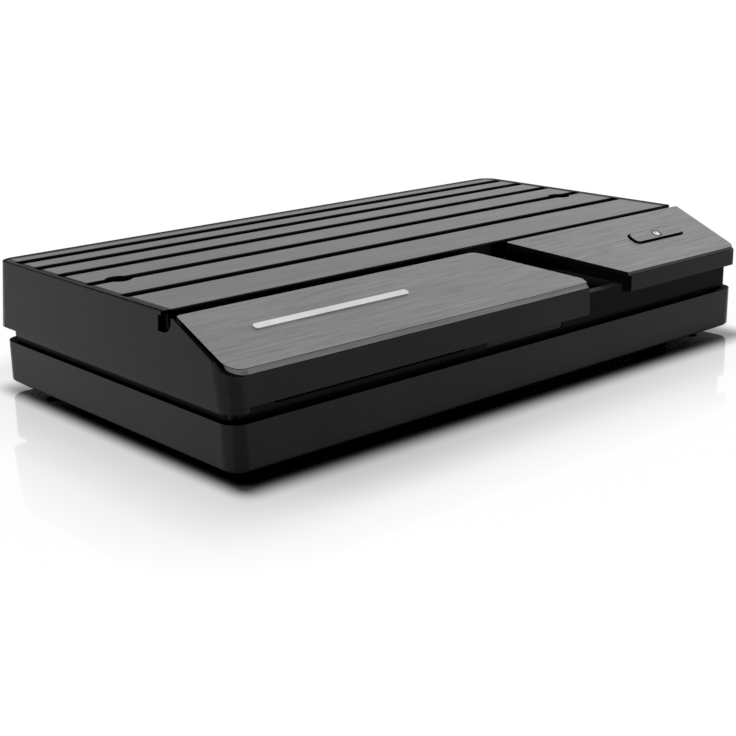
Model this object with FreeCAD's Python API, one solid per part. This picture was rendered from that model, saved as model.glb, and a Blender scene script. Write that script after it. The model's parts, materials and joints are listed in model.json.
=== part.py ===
import FreeCAD, Part
import math
import os
from FreeCAD import Placement, Rotation, Vector

# Satellite television receiver: a low tray on rubber feet, a black inner frame, and a wide
# cover with a ribbed metal top, a sloping left plate and a thicker sloping block at the right.
#
# While the pieces are built, x runs from the left side, y from the front and z from the table.
# Each piece moves to the centre of the footprint when it is saved. Sizes are in millimetres.

# --- outside of the case; each size that ends in DROP is measured down from the top ---
WIDTH = 220.0
DEPTH = 122.9
HEIGHT = 40.9
CORNER_RADIUS = 5.5
SIDE_DRAFT = 1.1          # how far each side wall leans in by the top
REAR_DRAFT = 1.4
FOOT_HEIGHT = 2.5
TRAY_TOP_DROP = 25.2
TRAY_INSET = 1.25         # tray inside the outline of the cover, all round
COVER_BOTTOM_DROP = 21.9  # lower edge of the side walls
WALL = 2.0
TRAY_CHAMFER = 0.7

# --- front of the cover ---
LIP_BOTTOM_DROP = 20.5
LIP_TOP_DROP = 12.5
LIP_LEAN = 1.87           # how far the lip leans back between its bottom and its top
LIP_THICKNESS = 2.2
LIP_END = 140.6           # x where the lip ends
LIP_END_RADIUS = 2.5
LIP_STEP = 6.0            # x past which the lip ends above the side wall's lower edge
PLATE_FRONT_Y = 2.9       # front edge of both plates
PLATE_FRONT_DROP = 11.05
PLATE_BEVEL = 1.52        # bevel along the left plate's front edge, measured on the slope
PLATE_BEVEL_DROP = 0.87
PLATE_RIM = 0.2           # upright edge between the top of the left plate and its bevel
PLATE_OVERHANG = 0.4      # left plate past what carries it, at its slanted end
PLATE_TIP_RADIUS = 0.8
PLATE_THICKNESS = 1.0
PLATE_SIDE_INSET = 2.7    # left plate in from the left side
PLATE_CORNER_RADIUS = 5.0
PLATE_REAR_RADIUS = 7.0
PLATE_GROOVE_WIDTH = 1.05
PLATE_GROOVE_DEPTH = 2.5
RIM_DROP = 0.1            # side wall's rim below the top of the left plate
RIM_RUN = 3.0
BLOCK_REAR_Y = 27.4       # rear edge of the right block, level with the top
LEFT_PLATE_REAR_GAP = 1.3  # left plate's rear edge ahead of the right block's
BLOCK_DROP = 4.4          # right block's thickness, measured straight down
BLOCK_LIP_DROP = 17.4
BLOCK_LIP_Y = 2.2
BLOCK_CORNER_RADIUS = 2.0
BLOCK_EDGE_INSET = 0.1
DIAGONAL_RUN = 1.29       # x lost for each y on the slanted ends
PLATE_DIAGONAL_X = 143.4  # where the left plate's slanted end would meet its front edge
CHANNEL_WIDTH = 17.85     # channel between plate and block, along x
DECK_THICKNESS = 2.0
CHANNEL_BED_DROP = 14.9   # flat bottom of the channel

# --- ribbed top ---
TOP_FRONT_Y = 30.85
TOP_PLATE_THICKNESS = 1.0
TOP_RIM = 1.0             # rim of the cover round the ribbed plate, level with it
TOP_RIM_GAP = 0.1
PLATE_EDGE = 0.25         # ledge left beside the other plates
GROOVE_WIDTH = 4.0
GROOVE_DEPTH = 3.0        # below the plate
GROOVE_COUNT = 5
GROOVE_FIRST = 10.65      # rear edge to the first groove's centre
GROOVE_PITCH = 11.2
GROOVE_GROWTH = 1.192     # each pitch is this much longer than the one behind it
GROOVE_END = 3.6          # groove ends in from the sides
GROOVE_END_RADIUS = 1.2
CHANNEL_SKIN = 1.6
BOSS_TOP_SKIN = 1.0       # skin left over the cover's bosses
RIB_SKIN = 1.4
WIDE_GROOVE_DROP = 5.4
WIDE_GROOVE_SKIN = 2.0
NOTCH_RUN = 3.4           # hollow curve in front of the wide groove's floor
NOTCH_STEPS = 6
NOTCH_SLOT = 1.3          # slot behind the left end of the wide groove
VENT_LENGTH = 11.0
VENT_WIDTH = 1.6
VENT_PITCH = 16.0
VENT_MARGIN = 25.0
FLOOR_VENT_ROWS = 4
FLOOR_VENT_LENGTH = 16.0
FLOOR_VENT_WIDTH = 2.4
FLOOR_VENT_RADIUS = 1.1
FLOOR_VENT_PITCH = 32.0
FLOOR_ROW_PITCH = 14.4

# --- recessed front wall ---
FASCIA_Y = 4.0
FASCIA_THICKNESS = 1.6
FASCIA_BOTTOM_DROP = 24.5
FASCIA_END = 3.0
FASCIA_END_RADIUS = 2.0
FASCIA_RETURN = 8       # strip depth from which its rounded ends are cut
FASCIA_LIP_DROP = 16.5
CARD_SLOT_X = 17.0
CARD_SLOT_LENGTH = 71.0
CARD_SLOT_DROP = 22.7
CARD_SLOT_HEIGHT = 1.6
CARD_SLOT_RADIUS = 0.64
WINDOW_X = 97.0
WINDOW_LENGTH = 34.0
WINDOW_BOTTOM_DROP = 23.9
WINDOW_TOP_DROP = 18.9
WINDOW_RECESS = 0.35
WINDOW_RADIUS = 0.6
FRONT_WALL = 1.8          # cover's own front wall behind the fascia
FRONT_CUT_MARGIN = 1.0    # cuts in that wall reach this far past the slot

# --- inner frame, rear panel and rear recess ---
FRAME_INSET = 3.4
FRAME_WALL = 1.6
FRAME_FRONT_Y = 6.0
FRAME_FRONT_DROP = 23.1
FRAME_DROP = 16.9
FRAME_RADIUS = 2.5
FRAME_TAIL = 1.0          # frame's side walls run on past the rear panel
PANEL_RECESS = 7.4        # outer face of the rear panel, in from the rear
PANEL_THICKNESS = 1.0
PANEL_DROP = 7.7
REAR_STEP_Y = 12.2        # side wall's raised rear end
REAR_OPENING_SIDE = 9.0
PANEL_SCREW_INSET = 3.2   # in from the side of the rear opening
PANEL_SCREW_RISE = 5.0
PANEL_VENT_HEIGHT = 4.0
PANEL_VENT_DROP = 2.0
PANEL_VENT_PITCH = 4.8

# --- fasteners ---
SCREW_RADIUS = 1.5
SCREW_HEAD_RADIUS = 2.75
SCREW_HEAD_HEIGHT = 1.8
SCREW_CLEARANCE = 0.1
SMALL_SCREW_RADIUS = 1.0
SMALL_HEAD_RADIUS = 1.9
SMALL_HEAD_HEIGHT = 1.0
POST_RADIUS = 3.4
POST_DROP = 20.9          # where the cover's bosses meet the tray's posts
CORNER_POST_X = 9.5
CORNER_POST_Y = 13.5
REAR_POST_Y = 16.0
TOP_SCREW_X = 14.0
TOP_SCREW_HOLE = 3.75
SCREWED_GROOVE = 3        # grooves behind the one that holds the top screws
DRIVE_RADIUS = 1.3
DRIVE_DEPTH = 0.9
CASE_SCREW_BITE = 6.0     # length of the case screws in the cover's bosses
TOP_SCREW_END = 4.0       # top screws end this far above the tray's floor
BOARD_SCREW_BITE = 3.0    # length of the board screws in the standoffs

# --- feet ---
FOOT_RADIUS = 6.0
FOOT_X = 24.0
FOOT_Y = 20.0
FOOT_SEAT = 0.6

# --- main board ---
BOARD_MARGIN = 20.0       # board in from the sides
BOARD_FRONT_Y = 9.0
BOARD_THICKNESS = 1.6
BOARD_RADIUS = 1.5
STANDOFF_HEIGHT = 4.0
STANDOFF_RADIUS = 3.0
BOARD_SCREW_INSET = 4.5
BOARD_GAP = 1.0           # board's rear edge to the rear panel

# --- rear sockets, from the left, as seen from the front ---
SOCKET_TO_TUNER = 2.3
SOCKET_FIT = 0.25         # play between a socket and its cut-out
SOCKET_STAND = 0.2        # sockets stand this proud of the panel
SOCKET_BACK = 3.0         # closed end of the moulded sockets
PIN_SET_BACK = 1.2        # pins and tongues stop this far behind the sockets' faces
DC_WIDTH = 9.0
DC_HEIGHT = 11.0
DC_LENGTH = 14.0
DC_HOLE = 3.2
DC_PIN = 1.0
DC_AXIS = 6.5             # above the board
OPTICAL_WIDTH = 9.7
OPTICAL_HEIGHT = 10.0
OPTICAL_LENGTH = 13.5
OPTICAL_OPENING = 7.4
OPTICAL_WALL = 1.15
SHUTTER_THICKNESS = 0.8
SHUTTER_PIN = 0.5
SHUTTER_CLEARANCE = 0.05
SHUTTER_SET_BACK = 1.2
SHUTTER_PIN_LENGTH = 0.5
SERVICE_WIDTH = 7.6
SERVICE_HEIGHT = 2.9
SERVICE_LENGTH = 5.6
SERVICE_TONGUE = 0.6
SERVICE_TONGUE_SIDE = 1.5  # tongue in from the shell's sides
USB_WIDTH = 13.1
USB_HEIGHT = 5.7
USB_LENGTH = 14.0
USB_TONGUE = 1.8
USB_TONGUE_SIDE = 1.0
USB_COUNT = 2
HDMI_WIDTH = 15.0
HDMI_HEIGHT = 6.2
HDMI_LENGTH = 11.5
HDMI_TONGUE = 1.0
HDMI_TONGUE_SIDE = 1.9
HDMI_SLANT = 1.6
SHELL = 0.45              # sheet of the metal socket shells
NETWORK_WIDTH = 16.2
NETWORK_HEIGHT = 13.5
NETWORK_LENGTH = 16.0
NETWORK_OPENING_WIDTH = 11.8
NETWORK_OPENING_HEIGHT = 8.0
NETWORK_FLOOR = 2.2
NETWORK_DEPTH = 12.0
NETWORK_CONTACTS = 8
LATCH_WIDTH = 5.8
LATCH_DROP = 1.4
NETWORK_CONTACT_PITCH = 1.02
CONTACT_WIRE = 0.45
CONTACT_DROP = 2.8

# --- tuner and aerial sockets ---
TUNER_WIDTH = 50.0
TUNER_LENGTH = 44.0
TUNER_HEIGHT = 15.0
TUNER_SHEET = 0.5
LID_COLUMNS = 4
LID_ROWS = 3
LID_HOLE = 1.5
TUNER_SIDE_MARGIN = 28.0  # can in from the right side
AERIAL_PITCH = 22.0
AERIAL_RISE = 8.0         # axis above the board
AERIAL_RADIUS = 4.75      # barrel through the panel and the nut
AERIAL_THREAD_RADIUS = 4.5  # its free end, a plain cylinder of the thread's mean size
AERIAL_REACH = 6.9        # barrel past the panel's outer face
AERIAL_BORE = 3.2
AERIAL_CONTACT = 0.9
AERIAL_CONTACT_BORE = 0.45
AERIAL_INSULATOR_SET = 0.6
AERIAL_CONTACT_SET = 0.8
AERIAL_TAIL = 2.0
NUT_FLATS = 11.0
NUT_THICKNESS = 2.2
NUT_CLEARANCE = 0.05

# --- parts on the main board ---
CHIP_SIZE = 23.0
CHIP_HEIGHT = 1.6
PAD_THICKNESS = 0.5
SINK_SIZE = 40.0
SINK_GAP = 1.0            # heatsink to the tuner and to the network socket
SINK_BASE = 2.5
SINK_HEIGHT = 13.0
SINK_FINS = 11
SINK_FIN_THICKNESS = 1.1
PUSH_PIN_RADIUS = 1.4
PUSH_PIN_HEAD = 2.4
PUSH_PIN_HEAD_HEIGHT = 1.5
PUSH_PIN_BARB = 1.9
PUSH_PIN_BARB_HEIGHT = 1.0
PUSH_PIN_ROOM = 1.0       # fins cut away round the pins' heads
PUSH_PIN_INSET = 3.5
MEMORY_WIDTH = 9.0
MEMORY_LENGTH = 13.3
MEMORY_HEIGHT = 1.0
MEMORY_COUNT = 3
CHIP_GAP = 2.0
MEMORY_PITCH = 13.0
FLASH_WIDTH = 12.0
FLASH_LENGTH = 14.4
FLASH_SHIFT = 10.0
INDUCTOR_SIZE = 7.0
INDUCTOR_HEIGHT = 4.5
INDUCTOR_RADIUS = 1.2
CAPACITOR_RADIUS = 3.15
CAPACITOR_HEIGHT = 7.0
CAPACITOR_BASE = 6.6
CAPACITOR_BASE_HEIGHT = 0.8
POWER_PITCH = 10.5
POWER_COUNT = 4
POWER_INSET = 12.0
POWER_GAP = 8.0
WIFI_WIDTH = 16.0
WIFI_LENGTH = 13.0
WIFI_HEIGHT = 2.4
WIFI_FROM_FRONT = 38.0
CRYSTAL_WIDTH = 5.0
CRYSTAL_LENGTH = 3.2
CRYSTAL_HEIGHT = 1.0

# --- card reader and front board ---
READER_WIDTH = 58.0
READER_LENGTH = 48.0
READER_HEIGHT = 5.4
READER_DROP = 2.2         # reader's underside below the slot's lower edge
READER_SLOT_WIDTH = 54.6
READER_SLOT_HEIGHT = 1.1
READER_LEG_RADIUS = 1.5
READER_LEG_INSET = 7.0
READER_WINDOW_INSET = 14.0
READER_END = 2.0
READER_GAP = 2.0          # behind the cover's front wall
READER_CONTACTS = 4
READER_CONTACT_PITCH = 2.54
READER_CONTACT_WIDTH = 1.2
READER_CONTACT_LENGTH = 3.0
READER_CONTACT_HEIGHT = 0.2
READER_ROW_PITCH = 7.6
FRONT_BOARD_THICKNESS = 1.2
FRONT_BOARD_DROP = 17.9
FRONT_BOARD_MARGIN = 3.0
RECEIVER_WIDTH = 6.0
RECEIVER_HEIGHT = 6.5
RECEIVER_DEPTH = 1.4
RECEIVER_DOME = 2.4
RECEIVER_DOME_SET = 1.5   # dome's centre behind the receiver's face
STATUS_LIGHT_SIZE = 2.0
STATUS_LIGHT_DEPTH = 1.2
STATUS_LIGHT_PITCH = 9.0

# --- standby button, measured on the slope ---
BUTTON_LENGTH = 25.2
BUTTON_WIDTH = 4.6
BUTTON_RADIUS = 1.7
BUTTON_RIGHT = 15.0       # button's right end in from the right side
BUTTON_UP = 12.35         # lower edge above the plate's front edge
BUTTON_GAP = 0.75
BUTTON_PROUD = 0.6        # top of the button above the plate, at rest
BUTTON_TRAVEL = 0.5
BUTTON_FLANGE = 1.2
FLANGE_THICKNESS = 1.0
FLANGE_GAP = 0.05
FLANGE_ROOM = 0.35
STEM_RADIUS = 1.6
STEM_LENGTH = 1.1
LIGHT_PIPE_RADIUS = 1.1
LIGHT_PIPE_SEAT = 0.5     # pipe's lower end above the flange's underside
SWITCH_SIZE = 6.0
SWITCH_HEIGHT = 3.2
PLUNGER_RADIUS = 1.5
PLUNGER_RISE = 0.9
PLUNGER_CLEARANCE = 0.05
PLUNGER_DEPTH = 0.7       # plunger's length inside the switch, at rest
PLUNGER_ROOM = 0.3        # left under the plunger when the button is pressed
BUTTON_BOARD_LENGTH = 24.0
BUTTON_BOARD_WIDTH = 21.0
BUTTON_BOARD_THICKNESS = 1.2
BUTTON_BOSS_RADIUS = 2.4
BUTTON_BOSS_INSET = 3.1
BUTTON_SCREW_LENGTH = 4.5
LAMP_SIZE = 1.6
LAMP_HEIGHT = 1.0
FLEX_WIDTH = 6.0
FLEX_THICKNESS = 0.3
FLEX_BEND = 8.0
FLEX_STRAIGHT = 1.0       # straight part of the cable past the upper header
HEADER_LENGTH = 9.0
HEADER_WIDTH = 4.0
HEADER_HEIGHT = 2.4
HEADER_SLOT = 1.5         # how far the cable reaches into a header
HEADER_PLAY = 0.05

# --- trim bar on the left plate ---
TRIM_X = 20.0
TRIM_LENGTH = 56.0
TRIM_WIDTH = 2.2
TRIM_UP = 13.2
TRIM_HEIGHT = 0.5
TRIM_RADIUS = 1.09

# --- worked out from the sizes above ---
TRAY_TOP = HEIGHT - TRAY_TOP_DROP
LIP_BOTTOM = HEIGHT - LIP_BOTTOM_DROP
LIP_TOP = HEIGHT - LIP_TOP_DROP
PLATE_FRONT_Z = HEIGHT - PLATE_FRONT_DROP
BLOCK_LIP_BOTTOM = HEIGHT - BLOCK_LIP_DROP
WIDE_GROOVE_FLOOR = HEIGHT - WIDE_GROOVE_DROP
FASCIA_BOTTOM = HEIGHT - FASCIA_BOTTOM_DROP
FASCIA_TOP_UNDER_LIP = HEIGHT - FASCIA_LIP_DROP
CARD_SLOT_Z = HEIGHT - CARD_SLOT_DROP
WINDOW_BOTTOM = HEIGHT - WINDOW_BOTTOM_DROP
WINDOW_TOP = HEIGHT - WINDOW_TOP_DROP
FRAME_FRONT_TOP = HEIGHT - FRAME_FRONT_DROP
FRAME_TOP = HEIGHT - FRAME_DROP
PANEL_TOP = HEIGHT - PANEL_DROP
FRONT_BOARD_TOP = HEIGHT - FRONT_BOARD_DROP
COVER_BOTTOM = HEIGHT - COVER_BOTTOM_DROP
CHANNEL_BED_Z = HEIGHT - CHANNEL_BED_DROP
POST_TOP = HEIGHT - POST_DROP
SLOPE = math.atan2(PLATE_FRONT_DROP, BLOCK_REAR_Y - PLATE_FRONT_Y)
FLOOR = FOOT_HEIGHT + WALL
BOARD_Z = FLOOR + STANDOFF_HEIGHT
BOARD_TOP = BOARD_Z + BOARD_THICKNESS
SEAT_Z = HEIGHT - TOP_PLATE_THICKNESS
CHANNEL_FLOOR = SEAT_Z - GROOVE_DEPTH
ROOF = CHANNEL_FLOOR - CHANNEL_SKIN
COVER_FRONT_Y = FASCIA_Y + FASCIA_THICKNESS
INSIDE_FRONT_Y = COVER_FRONT_Y + FRONT_WALL
LEFT_REAR_Y = BLOCK_REAR_Y - LEFT_PLATE_REAR_GAP
PANEL_Y = DEPTH - PANEL_RECESS
PANEL_INNER_Y = PANEL_Y - PANEL_THICKNESS
BOARD_REAR_Y = PANEL_INNER_Y - BOARD_GAP
BOARD_RIGHT = WIDTH - BOARD_MARGIN
TUNER_X = WIDTH - TUNER_SIDE_MARGIN - TUNER_WIDTH
TUNER_Y = BOARD_REAR_Y - TUNER_LENGTH
AERIAL_Z = BOARD_TOP + AERIAL_RISE
SOCKET_FACE = PANEL_Y + SOCKET_STAND
CHIP_X = TUNER_X - SINK_GAP - SINK_SIZE / 2
CHIP_Y = SOCKET_FACE - NETWORK_LENGTH - SINK_GAP - SINK_SIZE / 2
FLASH_X = CHIP_X - SINK_SIZE / 2 - FLASH_WIDTH
FLASH_Y = CHIP_Y - FLASH_SHIFT
CRYSTAL_Y = FLASH_Y - FLASH_LENGTH / 2 - CHIP_GAP - CRYSTAL_LENGTH / 2
DECK_W = -BLOCK_DROP * math.cos(SLOPE)
DECK_UNDER_W = DECK_W - DECK_THICKNESS
FLANGE_TOP_W = DECK_W - FLANGE_GAP
STEM_END_W = FLANGE_TOP_W - FLANGE_THICKNESS - STEM_LENGTH
SWITCH_TOP_W = STEM_END_W - PLUNGER_RISE
BUTTON_BOARD_W = SWITCH_TOP_W - SWITCH_HEIGHT
BUTTON_X = WIDTH - BUTTON_RIGHT - BUTTON_LENGTH
BUTTON_MID_X = BUTTON_X + BUTTON_LENGTH / 2
BUTTON_MID_V = BUTTON_UP + BUTTON_WIDTH / 2
LAMP_X = BUTTON_MID_X - SWITCH_SIZE
FLEX_START = (Vector(0, PLATE_FRONT_Y, PLATE_FRONT_Z)
              + Vector(0, math.cos(SLOPE), math.sin(SLOPE)) * BUTTON_MID_V
              + Vector(0, -math.sin(SLOPE), math.cos(SLOPE))
              * (BUTTON_BOARD_W - BUTTON_BOARD_THICKNESS - HEADER_HEIGHT + HEADER_SLOT))
READER_X = CARD_SLOT_X + (CARD_SLOT_LENGTH - READER_WIDTH) / 2
READER_Y = INSIDE_FRONT_Y + READER_GAP
READER_Z = CARD_SLOT_Z - READER_DROP
FRONT_BOARD_X = WINDOW_X - FRONT_BOARD_MARGIN
FRONT_BOARD_LENGTH = WINDOW_LENGTH + 2 * FRONT_BOARD_MARGIN
FRONT_BOARD_Y = INSIDE_FRONT_Y + READER_GAP
WINDOW_MID_X = WINDOW_X + WINDOW_LENGTH / 2
WINDOW_MID_Z = (WINDOW_BOTTOM + WINDOW_TOP) / 2
FAR = 400.0
AHEAD = -5.0              # y at which cuts through the front begin
THROUGH = 4.0             # length of the cuts through sheet, lids and nuts
UP = Vector(0, 0, 1)
BACK = Vector(0, 1, 0)
ACROSS = Vector(1, 0, 0)
SLOPE_PLACE = Placement(Vector(0, PLATE_FRONT_Y, PLATE_FRONT_Z), Rotation(Vector(1, 0, 0), math.degrees(SLOPE)))


# --- small helpers ---
def box(x0, x1, y0, y1, z0, z1):
    return Part.makeBox(x1 - x0, y1 - y0, z1 - z0, Vector(x0, y0, z0))


def cylinder(x, y, z, radius, length, axis=UP):
    return Part.makeCylinder(radius, length, Vector(x, y, z), axis)


def rounded_wire(points, radii, z=0.0):
    """Closed wire through plan points, with each corner rounded by its own radius."""
    edges = []
    ends = []
    count = len(points)
    for i in range(count):
        corner = Vector(points[i][0], points[i][1], z)
        before = (Vector(points[i - 1][0], points[i - 1][1], z) - corner).normalize()
        after_point = points[(i + 1) % count]
        after = (Vector(after_point[0], after_point[1], z) - corner).normalize()
        if radii[i] <= 0:
            ends.append((corner, corner))
            edges.append(None)
            continue
        half = before.getAngle(after) / 2
        reach = radii[i] / math.tan(half)
        middle = (before + after).normalize()
        nearest = corner + middle * (radii[i] / math.sin(half) - radii[i])
        first = corner + before * reach
        last = corner + after * reach
        ends.append((first, last))
        edges.append(Part.Arc(first, nearest, last).toShape())
    path = []
    for i in range(count):
        if edges[i] is not None:
            path.append(edges[i])
        path.append(Part.LineSegment(ends[i][1], ends[(i + 1) % count][0]).toShape())
    return Part.Wire(path)


def rectangle(x0, x1, y0, y1, radius, z=0.0):
    return rounded_wire([(x0, y0), (x1, y0), (x1, y1), (x0, y1)], [radius] * 4, z)


def prism(wire, height):
    return Part.Face(wire).extrude(Vector(0, 0, height))


def slab(x0, x1, y0, y1, z0, z1, radius):
    return prism(rectangle(x0, x1, y0, y1, radius, z0), z1 - z0)


def side_prism(profile, x0, x1):
    """Solid whose section, given as (y, z) points, runs along x."""
    points = [Vector(x0, y, z) for y, z in profile]
    face = Part.Face(Part.makePolygon(points + points[:1]))
    return face.extrude(Vector(x1 - x0, 0, 0))


def joined(shapes):
    return shapes[0].multiFuse(shapes[1:]).removeSplitter() if len(shapes) > 1 else shapes[0]


def on_slope(shape):
    shape.Placement = SLOPE_PLACE.multiply(shape.Placement)
    return shape


def slope_z(y):
    """Height of the plates' top plane at y."""
    return PLATE_FRONT_Z + (y - PLATE_FRONT_Y) * math.tan(SLOPE)


def slope_v(y):
    """Distance up the slope of the point of the top plane above y."""
    return (y - PLATE_FRONT_Y) / math.cos(SLOPE)


def slope_layer(low, high):
    """Everything between two depths under the plates' top plane."""
    return on_slope(box(-FAR, FAR, -FAR, FAR, low, high))


def save(name, shape):
    shape = shape.copy()
    shape.translate(Vector(-WIDTH / 2, -DEPTH / 2, 0))
    assert shape.isValid(), name
    shape.exportStep("parts/" + name + ".step")
    print(name, len(shape.Solids), round(shape.Volume, 1))


# --- fasteners ---
def screw(x, y, head_z, length, axis=UP, radius=SCREW_RADIUS, head=SCREW_HEAD_RADIUS, thick=SCREW_HEAD_HEIGHT):
    """Pan screw: the head's underside is at head_z and the shank runs along axis."""
    start = Vector(x, y, head_z)
    solid = Part.makeCylinder(radius, length, start, axis)
    solid = solid.fuse(Part.makeCylinder(head, thick, start, axis * -1)).removeSplitter()
    top = start - axis * thick
    drive = Part.makeCylinder(radius * DRIVE_RADIUS / SCREW_RADIUS, thick * DRIVE_DEPTH / SCREW_HEAD_HEIGHT, top, axis)
    return solid.cut(drive)


def corner_posts():
    return [(x, y) for x in (CORNER_POST_X, WIDTH - CORNER_POST_X) for y in (CORNER_POST_Y, DEPTH - REAR_POST_Y)]


def groove_middles():
    """Centre of each groove, from the rear to the front."""
    middles = []
    y = DEPTH - GROOVE_FIRST
    pitch = GROOVE_PITCH
    for _ in range(GROOVE_COUNT):
        middles.append(y)
        y -= pitch
        pitch *= GROOVE_GROWTH
    return middles


def top_screws():
    y = groove_middles()[SCREWED_GROOVE]
    return [(TOP_SCREW_X, y), (WIDTH - TOP_SCREW_X, y)]


def foot_places():
    return [(x, y) for x in (FOOT_X, WIDTH - FOOT_X) for y in (FOOT_Y, DEPTH - FOOT_Y)]


def board_screws():
    xs = (BOARD_MARGIN + BOARD_SCREW_INSET, BOARD_RIGHT - BOARD_SCREW_INSET)
    ys = (BOARD_FRONT_Y + BOARD_SCREW_INSET, BOARD_REAR_Y - BOARD_SCREW_INSET)
    return [(x, y) for x in xs for y in ys]


# --- case ---
def tray_shape():
    x0 = TRAY_INSET
    x1 = WIDTH - TRAY_INSET
    y0 = TRAY_INSET
    y1 = DEPTH - TRAY_INSET
    start = FOOT_HEIGHT + TRAY_CHAMFER
    radius = CORNER_RADIUS - TRAY_INSET / 4
    low = rectangle(x0 + TRAY_CHAMFER, x1 - TRAY_CHAMFER, y0 + TRAY_CHAMFER, y1 - TRAY_CHAMFER,
                    radius - TRAY_CHAMFER, FOOT_HEIGHT)
    foot = Part.makeLoft([low, rectangle(x0, x1, y0, y1, radius, start)], True, True)
    tray = foot.fuse(slab(x0, x1, y0, y1, start, TRAY_TOP, radius)).removeSplitter()
    tray = tray.cut(slab(x0 + WALL, x1 - WALL, y0 + WALL, y1 - WALL, FLOOR, FAR, radius - WALL / 2))
    side = REAR_OPENING_SIDE
    tray = tray.cut(box(side, WIDTH - side, PANEL_Y, FAR, FLOOR, FAR))
    posts = [cylinder(x, y, FLOOR - WALL / 2, POST_RADIUS, POST_TOP - FLOOR + WALL / 2)
             for x, y in corner_posts() + top_screws()]
    posts += [cylinder(x, y, FLOOR - WALL / 2, STANDOFF_RADIUS, STANDOFF_HEIGHT + WALL / 2)
              for x, y in board_screws()]
    tray = joined([tray] + posts)
    return tray.cut(joined(tray_cuts()))


def tray_cuts():
    hole = SCREW_RADIUS + SCREW_CLEARANCE
    cuts = []
    for x, y in corner_posts():
        cuts.append(cylinder(x, y, -1, SCREW_HEAD_RADIUS + SCREW_CLEARANCE, FLOOR + SCREW_HEAD_HEIGHT + 1))
        cuts.append(cylinder(x, y, -1, hole, POST_TOP + 2))
    for x, y in top_screws():
        cuts.append(cylinder(x, y, FLOOR + WALL, hole, POST_TOP))
    for x, y in board_screws():
        cuts.append(cylinder(x, y, FLOOR, SMALL_SCREW_RADIUS + SCREW_CLEARANCE, STANDOFF_HEIGHT + 1))
    for x, y in foot_places():
        cuts.append(cylinder(x, y, FOOT_HEIGHT - 1, FOOT_RADIUS + SCREW_CLEARANCE, FOOT_SEAT + 1))
    return cuts + floor_vents()


def floor_vents():
    """Rows of slots through the tray's floor, under the middle of the board."""
    vents = []
    first = BOARD_MARGIN + VENT_MARGIN
    count = int((WIDTH - 2 * first) / FLOOR_VENT_PITCH) + 1
    for row in range(FLOOR_VENT_ROWS):
        y = DEPTH / 2 + (row - (FLOOR_VENT_ROWS - 1) / 2) * FLOOR_ROW_PITCH
        for i in range(count):
            x = first + i * FLOOR_VENT_PITCH
            vents.append(slab(x, x + FLOOR_VENT_LENGTH, y, y + FLOOR_VENT_WIDTH, 0, FLOOR + 1, FLOOR_VENT_RADIUS))
    return vents


def rubber_feet():
    feet = []
    for x, y in foot_places():
        foot = cylinder(x, y, 0, FOOT_RADIUS, FOOT_HEIGHT + FOOT_SEAT)
        edge = [e for e in foot.Edges if abs(e.CenterOfMass.z) < 0.01 and len(e.Vertexes) == 1]
        feet.append(foot.makeFillet(FOOT_SEAT, edge))
    return Part.makeCompound(feet)


def tapered_body(inset, front, low, high):
    """The case's outline, pulled in by inset, from low to high, with leaning walls above the lip."""
    share = (high - LIP_BOTTOM) / (HEIGHT - LIP_BOTTOM)
    radius = CORNER_RADIUS - inset / 2
    lean = LIP_LEAN * (high - LIP_BOTTOM) / (LIP_TOP - LIP_BOTTOM) if front == 0 else 0
    x_in = inset + SIDE_DRAFT * share
    y_out = DEPTH - inset - REAR_DRAFT * share
    lower = rectangle(inset, WIDTH - inset, front, DEPTH - inset, radius, LIP_BOTTOM)
    upper = rectangle(x_in, WIDTH - x_in, front + lean, y_out, radius, high)
    skirt = slab(inset, WIDTH - inset, front, DEPTH - inset, low, LIP_BOTTOM, radius)
    return Part.makeLoft([lower, upper], True, True).fuse(skirt).removeSplitter()


def diagonal_x(x, y):
    """Where a slanted end that passes x at the plates' front edge reaches y."""
    return x - (y - PLATE_FRONT_Y) * DIAGONAL_RUN


def raised_outline(grow, front, rear):
    """Plan corners of the left plate, grown or shrunk by grow at its slanted end."""
    tip_x = LIP_END + grow
    tip_y = PLATE_FRONT_Y + (PLATE_DIAGONAL_X + grow - tip_x) / DIAGONAL_RUN
    rear_x = diagonal_x(PLATE_DIAGONAL_X + grow, rear)
    return [(PLATE_SIDE_INSET, front), (tip_x, front), (tip_x, tip_y), (rear_x, rear), (PLATE_SIDE_INSET, rear)]


def block_outline(front, edge):
    """Plan corners of the right block, with its right edge pulled in by edge."""
    left = PLATE_DIAGONAL_X + CHANNEL_WIDTH
    side = WIDTH - BLOCK_EDGE_INSET - edge
    share = (BLOCK_LIP_BOTTOM - LIP_BOTTOM) / (HEIGHT - LIP_BOTTOM)
    return [(diagonal_x(left, front), front), (side - SIDE_DRAFT * share, front),
            (side - SIDE_DRAFT, BLOCK_REAR_Y), (diagonal_x(left, BLOCK_REAR_Y), BLOCK_REAR_Y)]


def top_plate_wire(front, grow):
    """The ribbed plate's outline at its underside, from front to the rear and grown by grow at the other edges."""
    side = SIDE_DRAFT + TOP_RIM - grow
    rear = DEPTH - REAR_DRAFT - TOP_RIM + grow
    radius = CORNER_RADIUS - TOP_RIM + grow
    corners = [(side, front), (WIDTH - side, front), (WIDTH - side, rear), (side, rear)]
    return rounded_wire(corners, [0, 0, radius, radius], SEAT_Z)


def cover_outside():
    whole = tapered_body(0, 0, COVER_BOTTOM, HEIGHT).cut(prism(top_plate_wire(AHEAD, TOP_RIM_GAP), FAR))
    back = slab(0, WIDTH, COVER_FRONT_Y, DEPTH + CORNER_RADIUS, COVER_BOTTOM, HEIGHT, CORNER_RADIUS)
    left = rounded_wire([(-FAR, 0), (LIP_END, 0), (LIP_END, FAR), (-FAR, FAR)], [0, LIP_END_RADIUS, 0, 0])
    left = prism(left, HEIGHT).common(box(-FAR, FAR, -1, COVER_FRONT_Y + 2 * CORNER_RADIUS, 0, HEIGHT))
    return joined([whole.common(back), whole.common(left)])


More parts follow.
